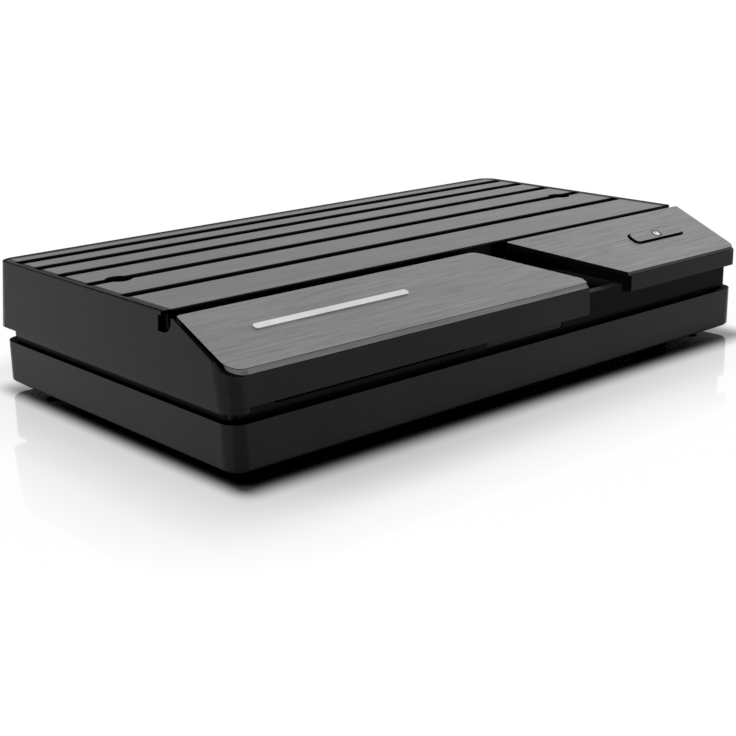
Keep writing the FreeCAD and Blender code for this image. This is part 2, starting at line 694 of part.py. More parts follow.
def notch_curve():
    """Section points of the hollow curve from the left plate's seat down to the wide groove's floor."""
    top = seat_z(LEFT_REAR_Y)
    points = []
    for i in range(NOTCH_STEPS + 1):
        turn = math.pi / 2 * i / NOTCH_STEPS
        points.append((LEFT_REAR_Y + NOTCH_RUN * (1 - math.cos(turn)),
                       top - (top - WIDE_GROOVE_FLOOR) * math.sin(turn)))
    return points


def seat_z(y):
    """Height at y of the surface that the left plate lies on."""
    return slope_z(y) - PLATE_THICKNESS / math.cos(SLOPE)


def left_slope_cut():
    profile = [(AHEAD, seat_z(AHEAD))] + notch_curve()
    profile += [(TOP_FRONT_Y, WIDE_GROOVE_FLOOR), (TOP_FRONT_Y, FAR), (AHEAD, FAR)]
    slot = box(-1, GROOVE_END - PLATE_EDGE, TOP_FRONT_Y - 1, TOP_FRONT_Y + NOTCH_SLOT, WIDE_GROOVE_FLOOR, SEAT_Z)
    return joined([side_prism(profile, -1, WIDTH + 1), slot])


def side_rim():
    """Thin rim of the left side wall that stands beside the left plate."""
    y0 = PLATE_FRONT_Y + CORNER_RADIUS / 2
    y1 = y0 + RIM_RUN
    low = 2 * PLATE_THICKNESS
    profile = [(y0, slope_z(y0) - low), (y0, seat_z(y0)), (y1, slope_z(y1) - RIM_DROP),
               (LEFT_REAR_Y, slope_z(LEFT_REAR_Y) - RIM_DROP), (LEFT_REAR_Y, slope_z(LEFT_REAR_Y) - low)]
    rim = side_prism(profile, -1, PLATE_SIDE_INSET - PLATE_GROOVE_WIDTH)
    return rim.common(tapered_body(0, 0, COVER_BOTTOM, SEAT_Z))


def right_slope_cut():
    deck = slope_z(0) - BLOCK_DROP
    rise = math.tan(SLOPE)
    profile = [(AHEAD, deck + AHEAD * rise), (BLOCK_REAR_Y, deck + BLOCK_REAR_Y * rise), (BLOCK_REAR_Y, FAR),
               (AHEAD, FAR)]
    corners = raised_outline(0, AHEAD, BLOCK_REAR_Y)
    plan = [corners[1], corners[2], corners[3], (FAR, BLOCK_REAR_Y), (FAR, AHEAD)]
    plan = prism(rounded_wire(plan, [0, 0, 0, 0, 0]), FAR)
    return joined([side_prism(profile, 0, WIDTH + 1).common(plan), channel_room(0, CHANNEL_BED_Z)])


def channel_room(grow, low):
    """The slanted channel between the left plate and the right block, grown by grow."""
    left = raised_outline(-grow, AHEAD, LEFT_REAR_Y)
    block = block_outline(AHEAD, 0)
    plan = [left[1], left[2], left[3], (left[3][0], TOP_FRONT_Y + grow), (block[3][0] + grow, TOP_FRONT_Y + grow),
            (block[3][0] + grow, BLOCK_REAR_Y), (block[0][0] + grow, AHEAD)]
    return prism(rounded_wire(plan, [0] * 7, low), FAR)


def groove_round_plate():
    """Narrow groove in the cover along the left edge of the left plate."""
    left = PLATE_SIDE_INSET - PLATE_GROOVE_WIDTH
    run = box(left, PLATE_SIDE_INSET + PLATE_EDGE, slope_v(PLATE_FRONT_Y + PLATE_CORNER_RADIUS), slope_v(DEPTH),
              -PLATE_THICKNESS - PLATE_GROOVE_DEPTH, 1)
    return on_slope(run)


def cover_hollow():
    under = slope_z(0) - BLOCK_DROP - DECK_THICKNESS / math.cos(SLOPE)
    rise = math.tan(SLOPE)
    wide_roof = WIDE_GROOVE_FLOOR - WIDE_GROOVE_SKIN
    bend = (wide_roof - under) / rise
    rear = TOP_FRONT_Y + RIB_SKIN
    profile = [(AHEAD, 0), (AHEAD, under + AHEAD * rise), (bend, wide_roof), (rear, wide_roof), (rear, ROOF),
               (FAR, ROOF), (FAR, 0)]
    shell = tapered_body(WALL, INSIDE_FRONT_Y, COVER_BOTTOM - 1, SEAT_Z)
    hollow = shell.common(side_prism(profile, -1, WIDTH + 1))
    hollow = hollow.cut(channel_room(WALL, CHANNEL_BED_Z - WALL))
    return joined([hollow] + rib_hollows())


def rib_hollows():
    """Space inside each rib, between one groove and the next."""
    edges = [DEPTH - REAR_DRAFT]
    for middle in groove_middles():
        edges += [middle + GROOVE_WIDTH / 2, middle - GROOVE_WIDTH / 2]
    edges.append(TOP_FRONT_Y)
    side = GROOVE_END
    return [box(side, WIDTH - side, low + RIB_SKIN, high - RIB_SKIN, ROOF - 1, SEAT_Z - CHANNEL_SKIN)
            for high, low in zip(edges[0::2], edges[1::2])]


def groove_cuts(low, high):
    half = GROOVE_WIDTH / 2
    return [slab(GROOVE_END, WIDTH - GROOVE_END, y - half, y + half, low, high, GROOVE_END_RADIUS)
            for y in groove_middles()]


def vent_cuts():
    cuts = []
    count = int((WIDTH - 2 * VENT_MARGIN) / VENT_PITCH)
    start = (WIDTH - (count - 1) * VENT_PITCH - VENT_LENGTH) / 2
    half = VENT_WIDTH / 2
    for y in groove_middles():
        for i in range(count):
            x = start + i * VENT_PITCH
            cuts.append(box(x, x + VENT_LENGTH, y - half, y + half, ROOF - 1, CHANNEL_FLOOR + 1))
    return cuts


def lip_pocket():
    """Room behind the lip for the fascia, open below."""
    wide = box(WALL, LIP_END - LIP_THICKNESS, LIP_THICKNESS, COVER_FRONT_Y, 0, FASCIA_TOP_UNDER_LIP)
    end = box(LIP_END - LIP_THICKNESS - 1, LIP_END + 1, FASCIA_Y, COVER_FRONT_Y, 0, FASCIA_TOP_UNDER_LIP)
    return [wide, end]


def front_wall_windows():
    edge = FRONT_CUT_MARGIN
    card = box(CARD_SLOT_X - edge, CARD_SLOT_X + CARD_SLOT_LENGTH + edge, COVER_FRONT_Y - 1, INSIDE_FRONT_Y + 1,
               0, CARD_SLOT_Z + CARD_SLOT_HEIGHT + edge)
    window = box(WINDOW_X + edge, WINDOW_X + WINDOW_LENGTH - edge, COVER_FRONT_Y - 1, INSIDE_FRONT_Y + 1,
                 0, WINDOW_TOP - edge / 2)
    return [card, window]


def cover_bosses():
    bosses = []
    for x, y in corner_posts() + top_screws():
        bosses.append(cylinder(x, y, POST_TOP, POST_RADIUS, HEIGHT - POST_TOP))
    return bosses


def boss_room():
    """Where bosses may stand: inside the cover's skin."""
    body = tapered_body(WALL / 2, COVER_FRONT_Y + WALL / 2, COVER_BOTTOM, SEAT_Z)
    skin = BOSS_TOP_SKIN
    high = CHANNEL_FLOOR - CHANNEL_SKIN / 2
    profile = [(AHEAD, 0), (AHEAD, slope_z(AHEAD) - BLOCK_DROP - skin), (BLOCK_REAR_Y, HEIGHT - BLOCK_DROP - skin),
               (TOP_FRONT_Y + skin, WIDE_GROOVE_FLOOR - skin), (TOP_FRONT_Y + skin, high), (FAR, high), (FAR, 0)]
    return body.common(side_prism(profile, -1, WIDTH + 1))


def button_room():
    """Pocket in the deck under the standby button."""
    grow = BUTTON_FLANGE + FLANGE_ROOM
    pocket = slab(BUTTON_X - grow, BUTTON_X + BUTTON_LENGTH + grow, BUTTON_UP - grow, BUTTON_UP + BUTTON_WIDTH + grow,
                  DECK_UNDER_W - DECK_THICKNESS, DECK_W + 1, BUTTON_RADIUS)
    return on_slope(pocket)


def button_bosses():
    """Pegs under the deck that carry the button board."""
    length = DECK_W - DECK_THICKNESS / 2 - BUTTON_BOARD_W
    return [on_slope(cylinder(u, v, BUTTON_BOARD_W, BUTTON_BOSS_RADIUS, length)) for u, v in button_board_places()]


def button_board_places():
    """Screws of the button board, up and down the slope from the button."""
    half = BUTTON_BOARD_WIDTH / 2 - BUTTON_BOSS_INSET
    return [(BUTTON_MID_X, BUTTON_MID_V - half), (BUTTON_MID_X, BUTTON_MID_V + half)]


def upper_cover():
    cover = cover_outside().cut(joined([left_slope_cut(), right_slope_cut()]))
    cover = cover.fuse(side_rim()).cut(groove_round_plate())
    cover = cover.cut(cover_hollow())
    cover = joined([cover] + [b.common(boss_room()) for b in cover_bosses()] + button_bosses())
    lip = box(LIP_STEP, LIP_END + 1, -1, COVER_FRONT_Y, 0, LIP_BOTTOM)
    step = box(-1, WIDTH + 1, DEPTH - REAR_STEP_Y, FAR, 0, LIP_BOTTOM)
    side = REAR_OPENING_SIDE
    rear = box(side, WIDTH - side, DEPTH - REAR_STEP_Y, FAR, 0, PANEL_TOP)
    cuts = [lip, step, rear, button_room()] + lip_pocket() + front_wall_windows() + groove_cuts(CHANNEL_FLOOR, FAR)
    cover = cover.cut(joined(cuts)).cut(Part.makeCompound(vent_cuts()))
    return cover.cut(joined(cover_holes())).removeSplitter()


def cover_holes():
    hole = SCREW_RADIUS + SCREW_CLEARANCE
    holes = []
    for x, y in corner_posts():
        holes.append(cylinder(x, y, POST_TOP - 1, hole, CASE_SCREW_BITE + 2))
    for x, y in top_screws():
        holes.append(cylinder(x, y, POST_TOP - 1, hole, HEIGHT))
        holes.append(cylinder(x, y, CHANNEL_FLOOR, TOP_SCREW_HOLE, HEIGHT))
    for u, v in button_board_places():
        holes.append(on_slope(cylinder(u, v, BUTTON_BOARD_W - 1, SMALL_SCREW_RADIUS + SCREW_CLEARANCE,
                                       BUTTON_SCREW_LENGTH + SCREW_CLEARANCE)))
    return holes


def ribbed_top_plate():
    plate = prism(top_plate_wire(TOP_FRONT_Y, 0), TOP_PLATE_THICKNESS)
    cuts = groove_cuts(SEAT_Z - 1, HEIGHT + 1)
    cuts += [cylinder(x, y, SEAT_Z - 1, TOP_SCREW_HOLE, THROUGH) for x, y in top_screws()]
    return plate.cut(joined(cuts))


def left_front_plate():
    """Plate with a thin upright rim and a bevel along its front edge, which fade out round the corner."""
    corners = [(x, slope_v(y)) for x, y in raised_outline(PLATE_OVERHANG, PLATE_FRONT_Y, LEFT_REAR_Y)]
    lower = [(x, v - PLATE_BEVEL if v <= 0 else v) for x, v in corners]
    radii = [PLATE_CORNER_RADIUS, PLATE_TIP_RADIUS, PLATE_TIP_RADIUS, PLATE_REAR_RADIUS, PLATE_TIP_RADIUS]
    edge = prism(rounded_wire(lower, radii, -PLATE_THICKNESS), PLATE_THICKNESS - PLATE_BEVEL_DROP)
    rim = rounded_wire(lower, radii, -PLATE_BEVEL_DROP)
    bevel = Part.makeLoft([rim, rounded_wire(corners, radii, -PLATE_RIM)], True, True)
    return on_slope(joined([edge, bevel, prism(rounded_wire(corners, radii, -PLATE_RIM), PLATE_RIM)]))


def trim_bar():
    return on_slope(slab(TRIM_X, TRIM_X + TRIM_LENGTH, TRIM_UP, TRIM_UP + TRIM_WIDTH, 0, TRIM_HEIGHT, TRIM_RADIUS))


def block_plan(front, edge):
    radii = [PLATE_EDGE, BLOCK_CORNER_RADIUS, 0, PLATE_EDGE]
    return rounded_wire(block_outline(front, edge), radii)


def button_hole():
    gap = BUTTON_GAP
    hole = slab(BUTTON_X - gap, BUTTON_X + BUTTON_LENGTH + gap, BUTTON_UP - gap, BUTTON_UP + BUTTON_WIDTH + gap,
                DECK_W - 1, 2, BUTTON_RADIUS + gap)
    return on_slope(hole)


def right_front_block():
    plan = prism(block_plan(BLOCK_LIP_Y, 0), FAR)
    body = plan.common(slope_layer(DECK_W, -PLATE_THICKNESS))
    lip = plan.common(slope_layer(-FAR, -PLATE_THICKNESS))
    lip = lip.common(box(-FAR, FAR, -1, FASCIA_Y - PLATE_EDGE, BLOCK_LIP_BOTTOM, FAR))
    return joined([body, lip]).cut(button_hole())


def right_front_plate():
    plan = prism(block_plan(PLATE_FRONT_Y, PLATE_EDGE), FAR)
    return plan.common(slope_layer(-PLATE_THICKNESS, 0)).cut(button_hole())


def front_fascia():
    end = FASCIA_END
    strip = slab(end, WIDTH - end, FASCIA_Y, FASCIA_Y + FASCIA_RETURN, FASCIA_BOTTOM, HEIGHT, FASCIA_END_RADIUS)
    strip = strip.common(box(0, WIDTH, FASCIA_Y, COVER_FRONT_Y, 0, FAR))
    strip = strip.cut(slope_layer(DECK_W, FAR))
    over = box(0, LIP_END + SCREW_CLEARANCE, 0, COVER_FRONT_Y + 1, FASCIA_TOP_UNDER_LIP, FAR)
    slot = slab(CARD_SLOT_X, CARD_SLOT_X + CARD_SLOT_LENGTH, CARD_SLOT_Z, CARD_SLOT_Z + CARD_SLOT_HEIGHT,
                -FAR, FAR, CARD_SLOT_RADIUS)
    return strip.cut(joined([over, stood_up(slot), window_pane(0.0, FAR)]))


def stood_up(shape):
    """Turn a solid drawn in plan, with its second direction up, into the plane of the front."""
    shape.Placement = Placement(Vector(0, FASCIA_Y, 0), Rotation(Vector(1, 0, 0), 90))
    return shape


def window_pane(gap, reach):
    pane = slab(WINDOW_X + gap, WINDOW_X + WINDOW_LENGTH - gap, WINDOW_BOTTOM + gap, WINDOW_TOP - gap, -reach, reach,
                WINDOW_RADIUS)
    return stood_up(pane)


def infrared_window():
    pane = window_pane(SCREW_CLEARANCE / 2, FAR)
    return pane.common(box(0, WIDTH, FASCIA_Y + WINDOW_RECESS, COVER_FRONT_Y, 0, FAR))


def inner_frame():
    inset = FRAME_INSET
    inner = inset + FRAME_WALL
    tail = PANEL_Y + FRAME_TAIL
    ring = slab(inset, WIDTH - inset, FRAME_FRONT_Y, FAR, FLOOR, FRAME_TOP, FRAME_RADIUS)
    ring = ring.cut(slab(inner, WIDTH - inner, FRAME_FRONT_Y + FRAME_WALL, FAR, 0, FAR, FRAME_RADIUS / 2))
    ring = ring.common(box(0, WIDTH, 0, tail, 0, FAR))
    ring = ring.cut(box(0, WIDTH, 0, INSIDE_FRONT_Y + READER_GAP, FRAME_FRONT_TOP, FAR))
    reach = REAR_OPENING_SIDE + 2 * PANEL_SCREW_INSET
    rear = PANEL_INNER_Y - FRAME_WALL
    flanges = [box(x0, x1, rear, PANEL_INNER_Y, FLOOR, FRAME_TOP)
               for x0, x1 in ((inset, reach), (WIDTH - reach, WIDTH - inset))]
    ring = joined([ring] + flanges)
    hole = SMALL_SCREW_RADIUS + SCREW_CLEARANCE
    return ring.cut(joined([cylinder(x, rear - 1, z, hole, 2 * FRAME_WALL, BACK) for x, z in panel_screws()]))


def panel_screws():
    x0 = REAR_OPENING_SIDE + PANEL_SCREW_INSET
    return [(x, z) for x in (x0, WIDTH - x0) for z in (FLOOR + PANEL_SCREW_RISE, FRAME_TOP - PANEL_SCREW_RISE)]


# --- rear sockets ---
def socket_places():
    """Left edge and width of each socket along the rear panel, by name."""
    row = [("dc", DC_WIDTH), ("optical", OPTICAL_WIDTH), ("service", SERVICE_WIDTH)]
    row += [("usb%d" % i, USB_WIDTH) for i in range(USB_COUNT)]
    row += [("hdmi", HDMI_WIDTH), ("network", NETWORK_WIDTH)]
    x = BOARD_MARGIN + 2 * BOARD_SCREW_INSET
    room = TUNER_X - SOCKET_TO_TUNER - x - sum(width for name, width in row)
    places = {}
    for name, width in row:
        places[name] = x
        x += width + room / (len(row) - 1)
    return places


PLACES = socket_places()


def socket_body(name, width, height, length):
    x = PLACES[name]
    return box(x, x + width, SOCKET_FACE - length, SOCKET_FACE, BOARD_TOP, BOARD_TOP + height)


def socket_cut(name, width, height):
    fit = SOCKET_FIT
    x = PLACES[name]
    return box(x - fit, x + width + fit, PANEL_INNER_Y - 1, PANEL_Y + 1, BOARD_TOP - fit, BOARD_TOP + height + fit)


def aerial_places():
    middle = TUNER_X + TUNER_WIDTH / 2
    return [middle - AERIAL_PITCH / 2, middle + AERIAL_PITCH / 2]


def rear_panel():
    inner = FRAME_INSET + FRAME_WALL
    panel = box(inner, WIDTH - inner, PANEL_INNER_Y, PANEL_Y, FLOOR, PANEL_TOP)
    cuts = [socket_cut("dc", DC_WIDTH, DC_HEIGHT), socket_cut("optical", OPTICAL_WIDTH, OPTICAL_HEIGHT),
            socket_cut("service", SERVICE_WIDTH, SERVICE_HEIGHT), socket_cut("hdmi", HDMI_WIDTH, HDMI_HEIGHT),
            socket_cut("network", NETWORK_WIDTH, NETWORK_HEIGHT)]
    cuts += [socket_cut("usb%d" % i, USB_WIDTH, USB_HEIGHT) for i in range(USB_COUNT)]
    for x in aerial_places():
        cuts.append(cylinder(x, PANEL_INNER_Y - 1, AERIAL_Z, AERIAL_RADIUS + SOCKET_FIT, THROUGH, BACK))
    for x, z in panel_screws():
        cuts.append(cylinder(x, PANEL_INNER_Y - 1, z, SMALL_SCREW_RADIUS + SCREW_CLEARANCE, THROUGH, BACK))
    return panel.cut(joined(cuts)).cut(Part.makeCompound(panel_vents()))


def panel_vents():
    vents = []
    pitch = PANEL_VENT_PITCH
    count = int((WIDTH - 2 * BOARD_MARGIN) / pitch)
    first = (WIDTH - (count - 1) * pitch - VENT_WIDTH) / 2
    top = PANEL_TOP - PANEL_VENT_DROP
    for i in range(count):
        x = first + i * pitch
        vents.append(box(x, x + VENT_WIDTH, PANEL_INNER_Y - 1, PANEL_Y + 1, top - PANEL_VENT_HEIGHT, top))
    return vents


def dc_jack_body():
    body = socket_body("dc", DC_WIDTH, DC_HEIGHT, DC_LENGTH)
    middle = PLACES["dc"] + DC_WIDTH / 2
    bore = cylinder(middle, SOCKET_FACE - DC_LENGTH + SOCKET_BACK, BOARD_TOP + DC_AXIS, DC_HOLE, DC_LENGTH, BACK)
    return body.cut(bore)


def dc_jack_pin():
    middle = PLACES["dc"] + DC_WIDTH / 2
    start = SOCKET_FACE - DC_LENGTH + SOCKET_BACK
    return cylinder(middle, start, BOARD_TOP + DC_AXIS, DC_PIN, DC_LENGTH - SOCKET_BACK - PIN_SET_BACK, BACK)


def optical_frame():
    """Left, right, bottom and top of the optical socket's opening."""
    x = PLACES["optical"] + OPTICAL_WALL
    z = BOARD_TOP + OPTICAL_WALL
    return x, x + OPTICAL_OPENING, z, z + OPTICAL_OPENING


def optical_socket():
    body = socket_body("optical", OPTICAL_WIDTH, OPTICAL_HEIGHT, OPTICAL_LENGTH)
    x0, x1, z0, z1 = optical_frame()
    opening = box(x0, x1, SOCKET_FACE - OPTICAL_LENGTH + SOCKET_BACK, SOCKET_FACE + 1, z0, z1)
    y, z = shutter_axis()
    reach = SHUTTER_PIN_LENGTH + 2 * SHUTTER_CLEARANCE
    pin_hole = cylinder(x0 - reach, y, z, SHUTTER_PIN + SHUTTER_CLEARANCE, OPTICAL_OPENING + 2 * reach, ACROSS)
    return body.cut(opening).cut(pin_hole)


def shutter_axis():
    z1 = optical_frame()[3]
    return SOCKET_FACE - SHUTTER_SET_BACK, z1 - SHUTTER_PIN - 2 * SHUTTER_CLEARANCE


def optical_shutter():
    x0, x1, z0, z1 = optical_frame()
    y, z = shutter_axis()
    gap = 2 * SHUTTER_CLEARANCE
    half = SHUTTER_THICKNESS / 2
    flap = box(x0 + gap, x1 - gap, y - half, y + half, z0 + gap, z)
    reach = SHUTTER_PIN_LENGTH
    return joined([flap, cylinder(x0 - reach, y, z, SHUTTER_PIN, OPTICAL_OPENING + 2 * reach, ACROSS)])


def shell_socket(name, width, height, length):
    """Thin metal shell of a socket, closed at the back and open at the panel."""
    body = socket_body(name, width, height, length)
    x = PLACES[name]
    room = box(x + SHELL, x + width - SHELL, SOCKET_FACE - length + SHELL, SOCKET_FACE + 1,
               BOARD_TOP + SHELL, BOARD_TOP + height - SHELL)
    return body.cut(room)


def socket_tongue(name, width, height, length, side, thick):
    """Flat tongue that carries the contacts, fixed to the back of its shell."""
    x = PLACES[name]
    z = BOARD_TOP + height / 2
    return box(x + side, x + width - side, SOCKET_FACE - length + SHELL, SOCKET_FACE - PIN_SET_BACK,
               z - thick / 2, z + thick / 2)


def hdmi_shell():
    body = socket_body("hdmi", HDMI_WIDTH, HDMI_HEIGHT, HDMI_LENGTH)
    x = PLACES["hdmi"]
    slant = HDMI_SLANT

    def outline(grow):
        left = x + grow
        right = x + HDMI_WIDTH - grow
        low = BOARD_TOP + grow
        high = BOARD_TOP + HDMI_HEIGHT - grow
        return [(left, high), (right, high), (right, low + slant), (right - slant, low), (left + slant, low),
                (left, low + slant)]

    def tube(grow, y0, y1):
        points = [Vector(px, y0, pz) for px, pz in outline(grow)]
        return Part.Face(Part.makePolygon(points + points[:1])).extrude(Vector(0, y1 - y0, 0))

    return body.common(tube(0, 0, FAR)).cut(tube(SHELL, SOCKET_FACE - HDMI_LENGTH + SHELL, FAR))


def network_socket():
    body = socket_body("network", NETWORK_WIDTH, NETWORK_HEIGHT, NETWORK_LENGTH)
    x0 = PLACES["network"] + (NETWORK_WIDTH - NETWORK_OPENING_WIDTH) / 2
    z0 = BOARD_TOP + NETWORK_FLOOR
    opening = box(x0, x0 + NETWORK_OPENING_WIDTH, SOCKET_FACE - NETWORK_DEPTH, SOCKET_FACE + 1,
                  z0, z0 + NETWORK_OPENING_HEIGHT)
    side = (NETWORK_OPENING_WIDTH - LATCH_WIDTH) / 2
    latch = box(x0 + side, x0 + side + LATCH_WIDTH, SOCKET_FACE - NETWORK_DEPTH, SOCKET_FACE + 1, z0 - LATCH_DROP, z0 + 1)
    return body.cut(joined([opening, latch]))


def network_contacts():
    """Spring contacts along the roof of the network socket."""
    middle = PLACES["network"] + NETWORK_WIDTH / 2
    top = BOARD_TOP + NETWORK_FLOOR + NETWORK_OPENING_HEIGHT
    contacts = []
    for i in range(NETWORK_CONTACTS):
        x = middle + (i - (NETWORK_CONTACTS - 1) / 2) * NETWORK_CONTACT_PITCH
        front = SOCKET_FACE - SOCKET_BACK
        end = SOCKET_FACE - NETWORK_DEPTH + CONTACT_WIRE
        low = top - CONTACT_DROP
        profile = [(front - CONTACT_WIRE, top), (end, low + CONTACT_WIRE), (end, low), (front, top)]
        contacts.append(side_prism(profile, x - CONTACT_WIRE / 2, x + CONTACT_WIRE / 2))
    return Part.makeCompound(contacts)


# --- tuner ---
def tuner_can():
    x0 = TUNER_X
    x1 = TUNER_X + TUNER_WIDTH
    y1 = BOARD_REAR_Y
    top = BOARD_TOP + TUNER_HEIGHT
    sheet = TUNER_SHEET
    can = box(x0, x1, TUNER_Y, y1, BOARD_TOP, top)
    can = can.cut(box(x0 + sheet, x1 - sheet, TUNER_Y + sheet, y1 - sheet, BOARD_TOP - 1, top + 1))
    wall = box(x0 + TUNER_WIDTH / 2 - sheet / 2, x0 + TUNER_WIDTH / 2 + sheet / 2, TUNER_Y, y1, BOARD_TOP, top - sheet)
    holes = [cylinder(x, y1 - 1, AERIAL_Z, AERIAL_BORE, THROUGH, BACK) for x in aerial_places()]
    return joined([can, wall]).cut(joined(holes))


def tuner_lid():
    top = BOARD_TOP + TUNER_HEIGHT
    sheet = TUNER_SHEET
    x1 = TUNER_X + TUNER_WIDTH
    lid = box(TUNER_X, x1, TUNER_Y, BOARD_REAR_Y, top, top + sheet)
    holes = []
    for column in range(LID_COLUMNS):
        for row in range(LID_ROWS):
            x = TUNER_X + TUNER_WIDTH * (column + 1) / (LID_COLUMNS + 1)
            y = TUNER_Y + TUNER_LENGTH * (row + 1) / (LID_ROWS + 1)
            holes.append(cylinder(x, y, top - 1, LID_HOLE, THROUGH))
    return lid.cut(joined(holes))


def aerial_tubes(outer, inner, set_back):
    """One tube on each aerial axis, from the tuner can to set_back behind the barrels' ends."""
    length = PANEL_Y + AERIAL_REACH - BOARD_REAR_Y - set_back
    tubes = []
    for x in aerial_places():
        tube = cylinder(x, BOARD_REAR_Y, AERIAL_Z, outer, length, BACK)
        tubes.append(tube.cut(cylinder(x, BOARD_REAR_Y - 1, AERIAL_Z, inner, length + 2, BACK)))
    return Part.makeCompound(tubes)


def aerial_barrels():
    """Barrels that are thinner past the nut, where a plug screws on."""
    step = PANEL_Y + NUT_THICKNESS
    sleeves = [cylinder(x, step, AERIAL_Z, AERIAL_RADIUS + 1, AERIAL_REACH, BACK)
               .cut(cylinder(x, step - 1, AERIAL_Z, AERIAL_THREAD_RADIUS, AERIAL_REACH + 2, BACK))
               for x in aerial_places()]
    return Part.makeCompound([barrel.cut(joined(sleeves))
                              for barrel in aerial_tubes(AERIAL_RADIUS, AERIAL_BORE, 0).Solids])


def aerial_contacts():
    """Spring tubes that run on into the tuner can as solid pins."""
    parts = []
    for x in aerial_places():
        length = PANEL_Y + AERIAL_REACH - BOARD_REAR_Y - AERIAL_CONTACT_SET
        pin = cylinder(x, BOARD_REAR_Y - AERIAL_TAIL, AERIAL_Z, AERIAL_CONTACT, length + AERIAL_TAIL, BACK)
        parts.append(pin.cut(cylinder(x, BOARD_REAR_Y + AERIAL_TAIL, AERIAL_Z, AERIAL_CONTACT_BORE, length, BACK)))
    return Part.makeCompound(parts)


def aerial_nuts():
    nuts = []
    corner = NUT_FLATS / 2 / math.cos(math.pi / 6)
    for x in aerial_places():
        points = []
        for i in range(7):
            turn = math.pi / 3 * i
            points.append(Vector(x + corner * math.cos(turn), PANEL_Y, AERIAL_Z + corner * math.sin(turn)))
        nut = Part.Face(Part.makePolygon(points)).extrude(Vector(0, NUT_THICKNESS, 0))
        nuts.append(nut.cut(cylinder(x, PANEL_Y - 1, AERIAL_Z, AERIAL_RADIUS + NUT_CLEARANCE, THROUGH, BACK)))
    return Part.makeCompound(nuts)


# --- main board and what it carries ---
def main_board():
    board = slab(BOARD_MARGIN, BOARD_RIGHT, BOARD_FRONT_Y, BOARD_REAR_Y, BOARD_Z, BOARD_TOP, BOARD_RADIUS)
    holes = [cylinder(x, y, 0, SMALL_SCREW_RADIUS + SCREW_CLEARANCE, FAR) for x, y in board_screws()]
    holes += [cylinder(x, y, 0, PUSH_PIN_RADIUS + SCREW_CLEARANCE, FAR) for x, y in push_pins()]
    return board.cut(joined(holes))


def push_pins():
    reach = SINK_SIZE / 2 - PUSH_PIN_INSET
    return [(CHIP_X - reach, CHIP_Y - reach), (CHIP_X + reach, CHIP_Y + reach)]


def on_board(x, y, width, length, height, base=0.0):
    """Box centred at x, y that stands on the board or base above it."""
    low = BOARD_TOP + base
    return box(x - width / 2, x + width / 2, y - length / 2, y + length / 2, low, low + height)


def heatsink():
    base = CHIP_HEIGHT + PAD_THICKNESS
    sink = on_board(CHIP_X, CHIP_Y, SINK_SIZE, SINK_SIZE, SINK_BASE, base)
    pitch = (SINK_SIZE - SINK_FIN_THICKNESS) / (SINK_FINS - 1)
    room = PUSH_PIN_HEAD + PUSH_PIN_ROOM
    fins = []
    for i in range(SINK_FINS):
        x = CHIP_X - SINK_SIZE / 2 + SINK_FIN_THICKNESS / 2 + i * pitch
        fins.append(on_board(x, CHIP_Y, SINK_FIN_THICKNESS, SINK_SIZE, SINK_HEIGHT, base))
    sink = joined([sink] + fins)
    clear = []
    for x, y in push_pins():
        clear.append(cylinder(x, y, BOARD_TOP + base + SINK_BASE, room, FAR))
        clear.append(cylinder(x, y, 0, PUSH_PIN_RADIUS + SCREW_CLEARANCE, FAR))
    return sink.cut(joined(clear))


def heatsink_pins():
    pins = []
    top = BOARD_TOP + CHIP_HEIGHT + PAD_THICKNESS + SINK_BASE
    for x, y in push_pins():
        low = BOARD_Z - PUSH_PIN_BARB_HEIGHT
        shank = cylinder(x, y, low, PUSH_PIN_RADIUS, top - low)
        barb = cylinder(x, y, low, PUSH_PIN_BARB, PUSH_PIN_BARB_HEIGHT)
        pins.append(joined([shank, barb, cylinder(x, y, top, PUSH_PIN_HEAD, PUSH_PIN_HEAD_HEIGHT)]))
    return Part.makeCompound(pins)


def memory_chips():
    y = CHIP_Y - SINK_SIZE / 2 - MEMORY_LENGTH / 2 - CHIP_GAP
    first = CHIP_X - MEMORY_PITCH * (MEMORY_COUNT - 1) / 2
    return Part.makeCompound([on_board(first + i * MEMORY_PITCH, y, MEMORY_WIDTH, MEMORY_LENGTH, MEMORY_HEIGHT)
                              for i in range(MEMORY_COUNT)])


def power_places():
    first = BOARD_MARGIN + POWER_INSET
    y = BOARD_REAR_Y - OPTICAL_LENGTH - POWER_GAP
    return [(first + i * POWER_PITCH, y) for i in range(POWER_COUNT)]


def power_inductors():
    parts = []
    for x, y in power_places():
        block = slab(x - INDUCTOR_SIZE / 2, x + INDUCTOR_SIZE / 2, y - INDUCTOR_SIZE / 2, y + INDUCTOR_SIZE / 2,
                     BOARD_TOP, BOARD_TOP + INDUCTOR_HEIGHT, INDUCTOR_RADIUS)
        parts.append(block)
    return Part.makeCompound(parts)


def capacitors():
    parts = []
    for x, y in power_places():
        front = y - POWER_PITCH
        half = CAPACITOR_BASE / 2
        seat = BOARD_TOP + CAPACITOR_BASE_HEIGHT
        base = slab(x - half, x + half, front - half, front + half, BOARD_TOP, seat, CAPACITOR_BASE_HEIGHT)
        parts.append(joined([base, cylinder(x, front, seat, CAPACITOR_RADIUS, CAPACITOR_HEIGHT)]))
    return Part.makeCompound(parts)


